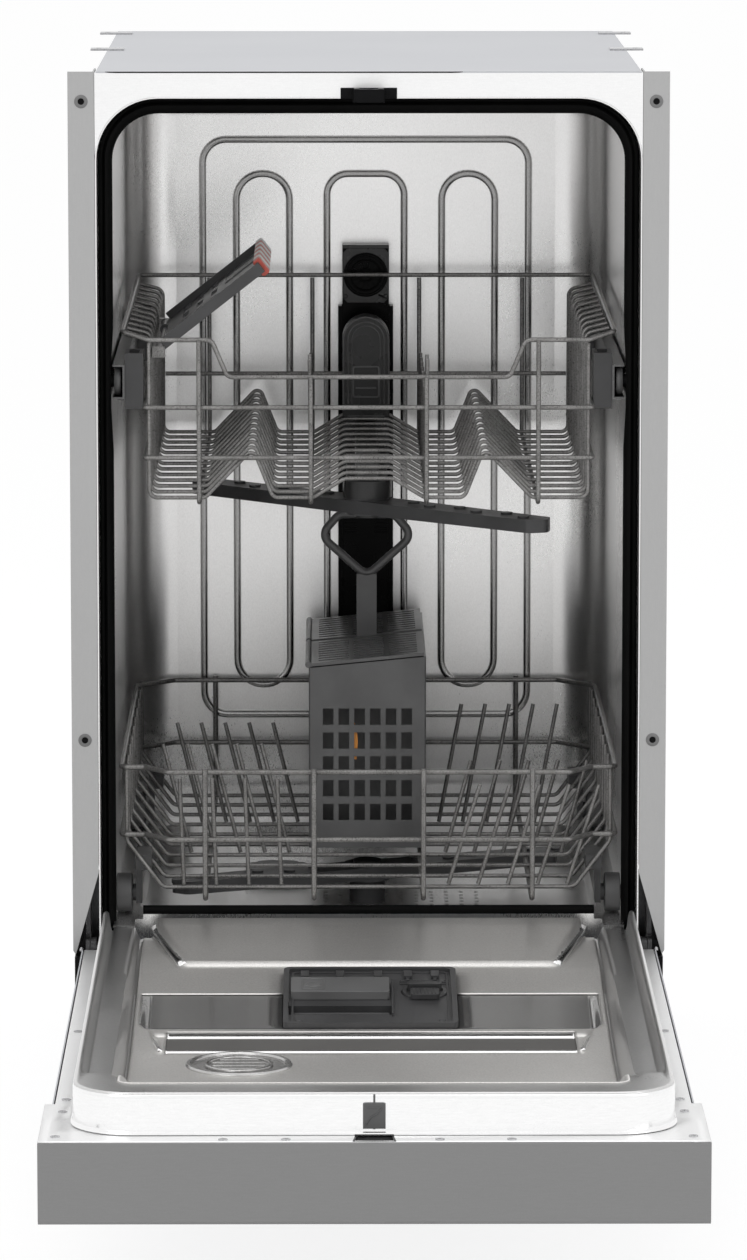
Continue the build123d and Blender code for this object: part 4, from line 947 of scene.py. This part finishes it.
def column_port():
    """Rings and fins of the riser's port, slanted louvres, and the ribs and rings down the riser's front."""
    port = (0, riser_front, port_height)
    shape = bmesh.new()
    for outer, inner, front in ((17.6, 15.4, -4.4), (13.4, 11.8, -4.2), (6.2, 4.6, -3.6)):
        profile = (
            (outer, 0), (outer, front + 0.5), (outer - 0.5, front),
            (inner + 0.5, front), (inner, front + 0.5), (inner, 0),
        )
        add_lathe(shape, profile, port, deep, steps=40)
    for k in range(14):
        add_box(shape, (6.0, 12.0), (-3.2, 0), (-0.55, 0.55), turned(port, 360 * k / 14, "Y"))
    for k in range(7):
        turn = turned((14.2, riser_front - 0.6, 602 - 6.5 * k), 24, "Y")
        add_box(shape, (-4.2, 3.6), (-1.0, 0.7), (-0.8, 0.8), turn)
    for side in (-1, 1):
        for k in range(14):
            add_box(shape, on_side(side, 7.5, 17.5), (461.0, 462.2), about(455 - 3.6 * k, 0.7))
        add_box(shape, on_side(side, 18.2, 19.6), (460.8, 463), (322, 596))
    for z in (470, 540):
        for outer in (13.5, 9.5):
            profile = ((outer, 0.3), (outer, -0.9), (outer - 1.4, -0.9), (outer - 1.4, 0.3))
            add_lathe(shape, profile, (0, riser_front, z), deep, steps=32)
    make_piece("column_port", shape, column_plastic, "cabinet", bevel=0.25)


def duct_rings():
    """Raised arcs, window frame and seams of the feed duct's front, lighter than the duct as painted
    highlight.
    """
    shape = bmesh.new()
    arc_y = duct_front - 0.4
    for radius, thick in ((18.2, 1.0), (14.6, 0.8), (11.4, 0.6)):
        arc = [(radius, arc_y, 520)]
        for k in range(25):
            angle = math.radians(7.5 * k)
            arc.append((radius * math.cos(angle), arc_y, 572 + radius * math.sin(angle)))
        arc.append((-radius, arc_y, 520))
        add_tube(shape, arc, thick, sides=8)
    window_out = rounded_outline(11, 13, 2, centre=(0, 538))
    window_in = rounded_outline(9.6, 11.6, 1.2, centre=(0, 538))
    add_frame(shape, window_out, window_in, -0.4, 0.9, turned((0, duct_front - 0.3, 0), 90, "X"))
    for z in (533, 543):
        add_box(shape, (-8.5, 8.5), (duct_front - 1.2, duct_front + 0.1), about(z, 0.8))
    for z in (490, 500, 510):
        add_box(shape, (-15, 15), (duct_front - 1.1, duct_front + 0.1), about(z, 0.6))
    make_piece("duct_rings", shape, duct_painted_highlight_plastic, "upper_rack", bevel=0.2)


# Cup shelf clips, in the shelf's own frame
shelf_place = turned(shelf_pivot, shelf_angle, "Y")


def shelf_clips(name, colour, first):
    """Every second clip along the free edge of the cup shelf."""
    shape = bmesh.new()
    outline = rounded_outline(3.4, 7.0, 2.0, centre=(99.4, 2.2))
    for k in range(first, 10, 2):
        place = shelf_place @ turned((0, 76 + shelf_clip_pitch * k, 0), 90, "X")
        add_prism(shape, outline, -7.6, 7.6, place)
    make_piece(name, shape, colour, "cup_shelf", bevel=0.5)


def basket_clip():
    """Orange snap tongue inside the basket's front wall."""
    outline = [(-13, 262), (-8.5, 262), (-7.5, 276), (-8.5, 288), (-12.5, 288), (-13.5, 276)]
    wall_y = 205.4
    shape = bmesh.new()
    add_prism(shape, outline, 0, 2.2, turned((0, wall_y + 2.2, 0), 90, "X"))
    add_tube(shape, [(-13, wall_y + 3, 284), (-10.5, wall_y + 3.6, 290), (-8, wall_y + 3, 284)], 1.2)
    make_piece("basket_clip", shape, orange_plastic, "lower_rack", bevel=0.4)


def hinge_cover_trim():
    """Ribs, loops and bright clips on the covers beside the mouth."""
    clip = ((0, -1.2), (1.3, -1.1), (1.9, -0.6), (1.9, 1), (0, 1))
    shape = bmesh.new()
    clips = bmesh.new()
    for side in (-1, 1):
        for k in range(5):
            add_box(shape, on_side(side, 215, 221.6), (1.0, 2.2), about(152 + 11.5 * k, 0.8))
        loop = []
        for k in range(24):
            angle = 2 * math.pi * k / 24
            loop.append((side * 218.3 + 2.6 * math.cos(angle), 1.2, 176 + 19 * math.sin(angle)))
        add_tube(shape, loop, 0.7, closed=True, sides=8)
        for z in (150.5, 199):
            add_lathe(clips, clip, (side * 217.8, 1.6, z), deep, steps=14, closed=False)
    make_piece("hinge_cover_clips", clips, screw_steel, "cabinet")
    make_piece("hinge_cover_trim", shape, black_plastic, "cabinet", bevel=0.25)


def wheel(name, centre, radius, width, bore, body):
    """Moulded wheel with a rounded tread, a recessed web with spokes, and a hub."""
    half = width / 2
    web = half * 0.35
    hub = bore + 2.2
    tread_in = radius - 3.2
    tread = (
        (tread_in, -half), (radius - 0.9, -half), (radius - 0.2, -half + 0.8), (radius, 0),
        (radius - 0.2, half - 0.8), (radius - 0.9, half), (tread_in, half), (radius - 3.4, half - 0.8),
        (radius - 3.4, -half + 0.8),
    )
    disc = ((hub - 0.4, -web), (tread_in, -web), (tread_in, web), (hub - 0.4, web))
    sleeve = ((bore, -half + 0.3), (hub, -half + 0.3), (hub, half - 0.3), (bore, half - 0.3))
    shape = bmesh.new()
    add_lathe(shape, tread, centre, wide, steps=40)
    add_lathe(shape, disc, centre, wide, steps=40)
    add_lathe(shape, sleeve, centre, wide, steps=28)
    for k in range(6):
        spoke = turned(centre, 60 * k, "X")
        add_box(shape, (-half + 0.8, half - 0.8), (-0.7, 0.7), (hub - 0.4, radius - 3.0), spoke)
    make_piece(name, shape, wheel_grey, body, [body], bevel=0.25)


def latch_cover():
    """Grey tab on the end of the dish and the black mouth of the lock under it."""
    shape = bmesh.new()
    tab = rounded_outline(7.4, 8.6, 1.4, centre=(0, 166.8))
    add_prism(shape, tab, 0.0, 1.6, turned((0, -641.1, 0), 90, "X"))
    add_box(shape, (-0.7, 0.7), (-642.4, -641.2), (157.5, 181))
    add_box(shape, (-4.6, 4.6), (-643.1, -642.4), (172.0, 173.2))
    wire = [(-5.2, -642.9, 161), (-2.4, -643.0, 166), (1.6, -643.0, 168), (5.2, -642.9, 172)]
    add_tube(shape, wire, 0.5, sides=8)
    make_piece("latch_cover", shape, tab_grey, "door", bevel=0.35)
    mouth = bmesh.new()
    outer = [(-14.5, -660.6), (14.5, -660.6), (14.5, -657.6), (12.8, -643), (-12.8, -643), (-14.5, -657.6)]
    inner = [
        (-12.6, -658.6), (12.6, -658.6), (12.6, -656.6), (11.7, -643.6), (-11.7, -643.6), (-12.6, -656.6),
    ]
    add_frame(mouth, outer, inner, 152.6, 153.4, Matrix.Identity(4))
    add_box(mouth, (-12.5, 12.5), (-656.5, -642.5), (135.4, 136.6))
    make_piece("latch_mouth", mouth, black_plastic, "door", bevel=0.25)


door_dish()
pressed_edges()
door_flange()
gasket()
panel_seam()
trim_grommets()
striker()
dispenser_trim()
lid_bar()
rinse_grip()
vent_grille()
pressed_beads()
column_head()
column_port()
duct_rings()
shelf_clips("shelf_clips_red", signal_red, 0)
shelf_clips("shelf_clips_white", off_white, 1)
basket_clip()
hinge_cover_trim()
latch_cover()
for side, side_name in ((-1, "left"), (1, "right")):
    for y, end_name in rack_wheel_places:
        body = f"rack_wheel_{side_name}_{end_name}"
        centre = (side * rack_wheel_x, y, rack_wheel_z)
        wheel(f"{body}_tread", centre, rack_wheel_radius, rack_wheel_width, rack_wheel_bore, body)
    for y, end_name in roller_places:
        body = f"rail_roller_{side_name}_{end_name}"
        centre = (side * roller_x, y, roller_z)
        wheel(f"{body}_tread", centre, roller_radius, roller_width, roller_bore, body)


# Camera
camera_data = bpy.data.cameras.new("camera")
camera = link(bpy.data.objects.new("camera", camera_data))
camera_data.sensor_width = sensor_width
camera_data.lens = focal_pixels / photo_height * sensor_width
camera_data.clip_end = 100
camera.location = at(camera_x, -camera_distance, camera_height)
camera.rotation_euler = (math.radians(90 - camera_pitch), 0, -math.radians(camera_yaw))
bpy.context.scene.camera = camera


# Light
def area_light(name, place, target, size_x, size_y, power):
    data = bpy.data.lights.new(name, "AREA")
    data.shape = "RECTANGLE"
    data.size = size_x
    data.size_y = size_y
    data.energy = power
    lamp = link(bpy.data.objects.new(name, data))
    lamp.location = place
    way = Vector(target) - Vector(place)
    lamp.rotation_euler = way.to_track_quat("-Z", "Y").to_euler()


area_light("key", (-1.6, -2.6, 2.6), (0, 0.1, 0.45), 1.6, 1.2, 18)
area_light("fill", (1.9, -2.2, 1.6), (0, 0.1, 0.4), 1.4, 1.4, 10)
area_light("top", (0, 0.3, 2.6), (0, 0.2, 0.5), 1.8, 1.8, 9)


def seen_directly(tree_nodes, links):
    """One for camera, glossy and transmission rays, and zero for the rest."""
    paths = tree_nodes.new("ShaderNodeLightPath")
    both = tree_nodes.new("ShaderNodeMath")
    both.operation = "MAXIMUM"
    links.new(paths.outputs["Is Camera Ray"], both.inputs[0])
    links.new(paths.outputs["Is Glossy Ray"], both.inputs[1])
    every = tree_nodes.new("ShaderNodeMath")
    every.operation = "MAXIMUM"
    links.new(both.outputs["Value"], every.inputs[0])
    links.new(paths.outputs["Is Transmission Ray"], every.inputs[1])
    return every.outputs["Value"]


# White surround
world = bpy.data.worlds.new("studio")
bpy.context.scene.world = world
world.use_nodes = True
world_nodes = world.node_tree.nodes
world_links = world.node_tree.links
backdrop = world_nodes["Background"]
backdrop.inputs["Color"].default_value = (1, 1, 1, 1)
strength = world_nodes.new("ShaderNodeMapRange")
strength.inputs["To Min"].default_value = surround_white
strength.inputs["To Max"].default_value = seen_white
world_links.new(seen_directly(world_nodes, world_links), strength.inputs["Value"])
world_links.new(strength.outputs["Result"], backdrop.inputs["Strength"])

# Floor: near white where it is seen, with the object's shadow
floor_data = bpy.data.meshes.new("floor")
floor = link(bpy.data.objects.new("floor", floor_data))
floor_shape = bmesh.new()
bmesh.ops.create_grid(floor_shape, x_segments=1, y_segments=1, size=30)
floor_shape.to_mesh(floor_data)
floor_shape.free()
floor_material, floor_nodes, floor_links = new_material("floor")
floor_shader = floor_nodes["Principled BSDF"]
floor_shader.inputs["Base Color"].default_value = (floor_tone, floor_tone, floor_tone, 1)
floor_shader.inputs["Roughness"].default_value = 0.8
floor_glow = floor_nodes.new("ShaderNodeEmission")
floor_glow.inputs["Strength"].default_value = floor_glow_strength
floor_shade = floor_nodes.new("ShaderNodeBsdfDiffuse")
floor_shade.inputs["Color"].default_value = (floor_shade_tone, floor_shade_tone, floor_shade_tone, 1)
floor_white = floor_nodes.new("ShaderNodeAddShader")
floor_links.new(floor_glow.outputs["Emission"], floor_white.inputs[0])
floor_links.new(floor_shade.outputs["BSDF"], floor_white.inputs[1])
floor_mix = floor_nodes.new("ShaderNodeMixShader")
floor_links.new(seen_directly(floor_nodes, floor_links), floor_mix.inputs["Fac"])
floor_links.new(floor_shader.outputs["BSDF"], floor_mix.inputs[1])
floor_links.new(floor_white.outputs["Shader"], floor_mix.inputs[2])
floor_links.new(floor_mix.outputs["Shader"], floor_nodes["Material Output"].inputs["Surface"])
floor_data.materials.append(floor_material)

bpy.context.scene.view_settings.view_transform = "Standard"
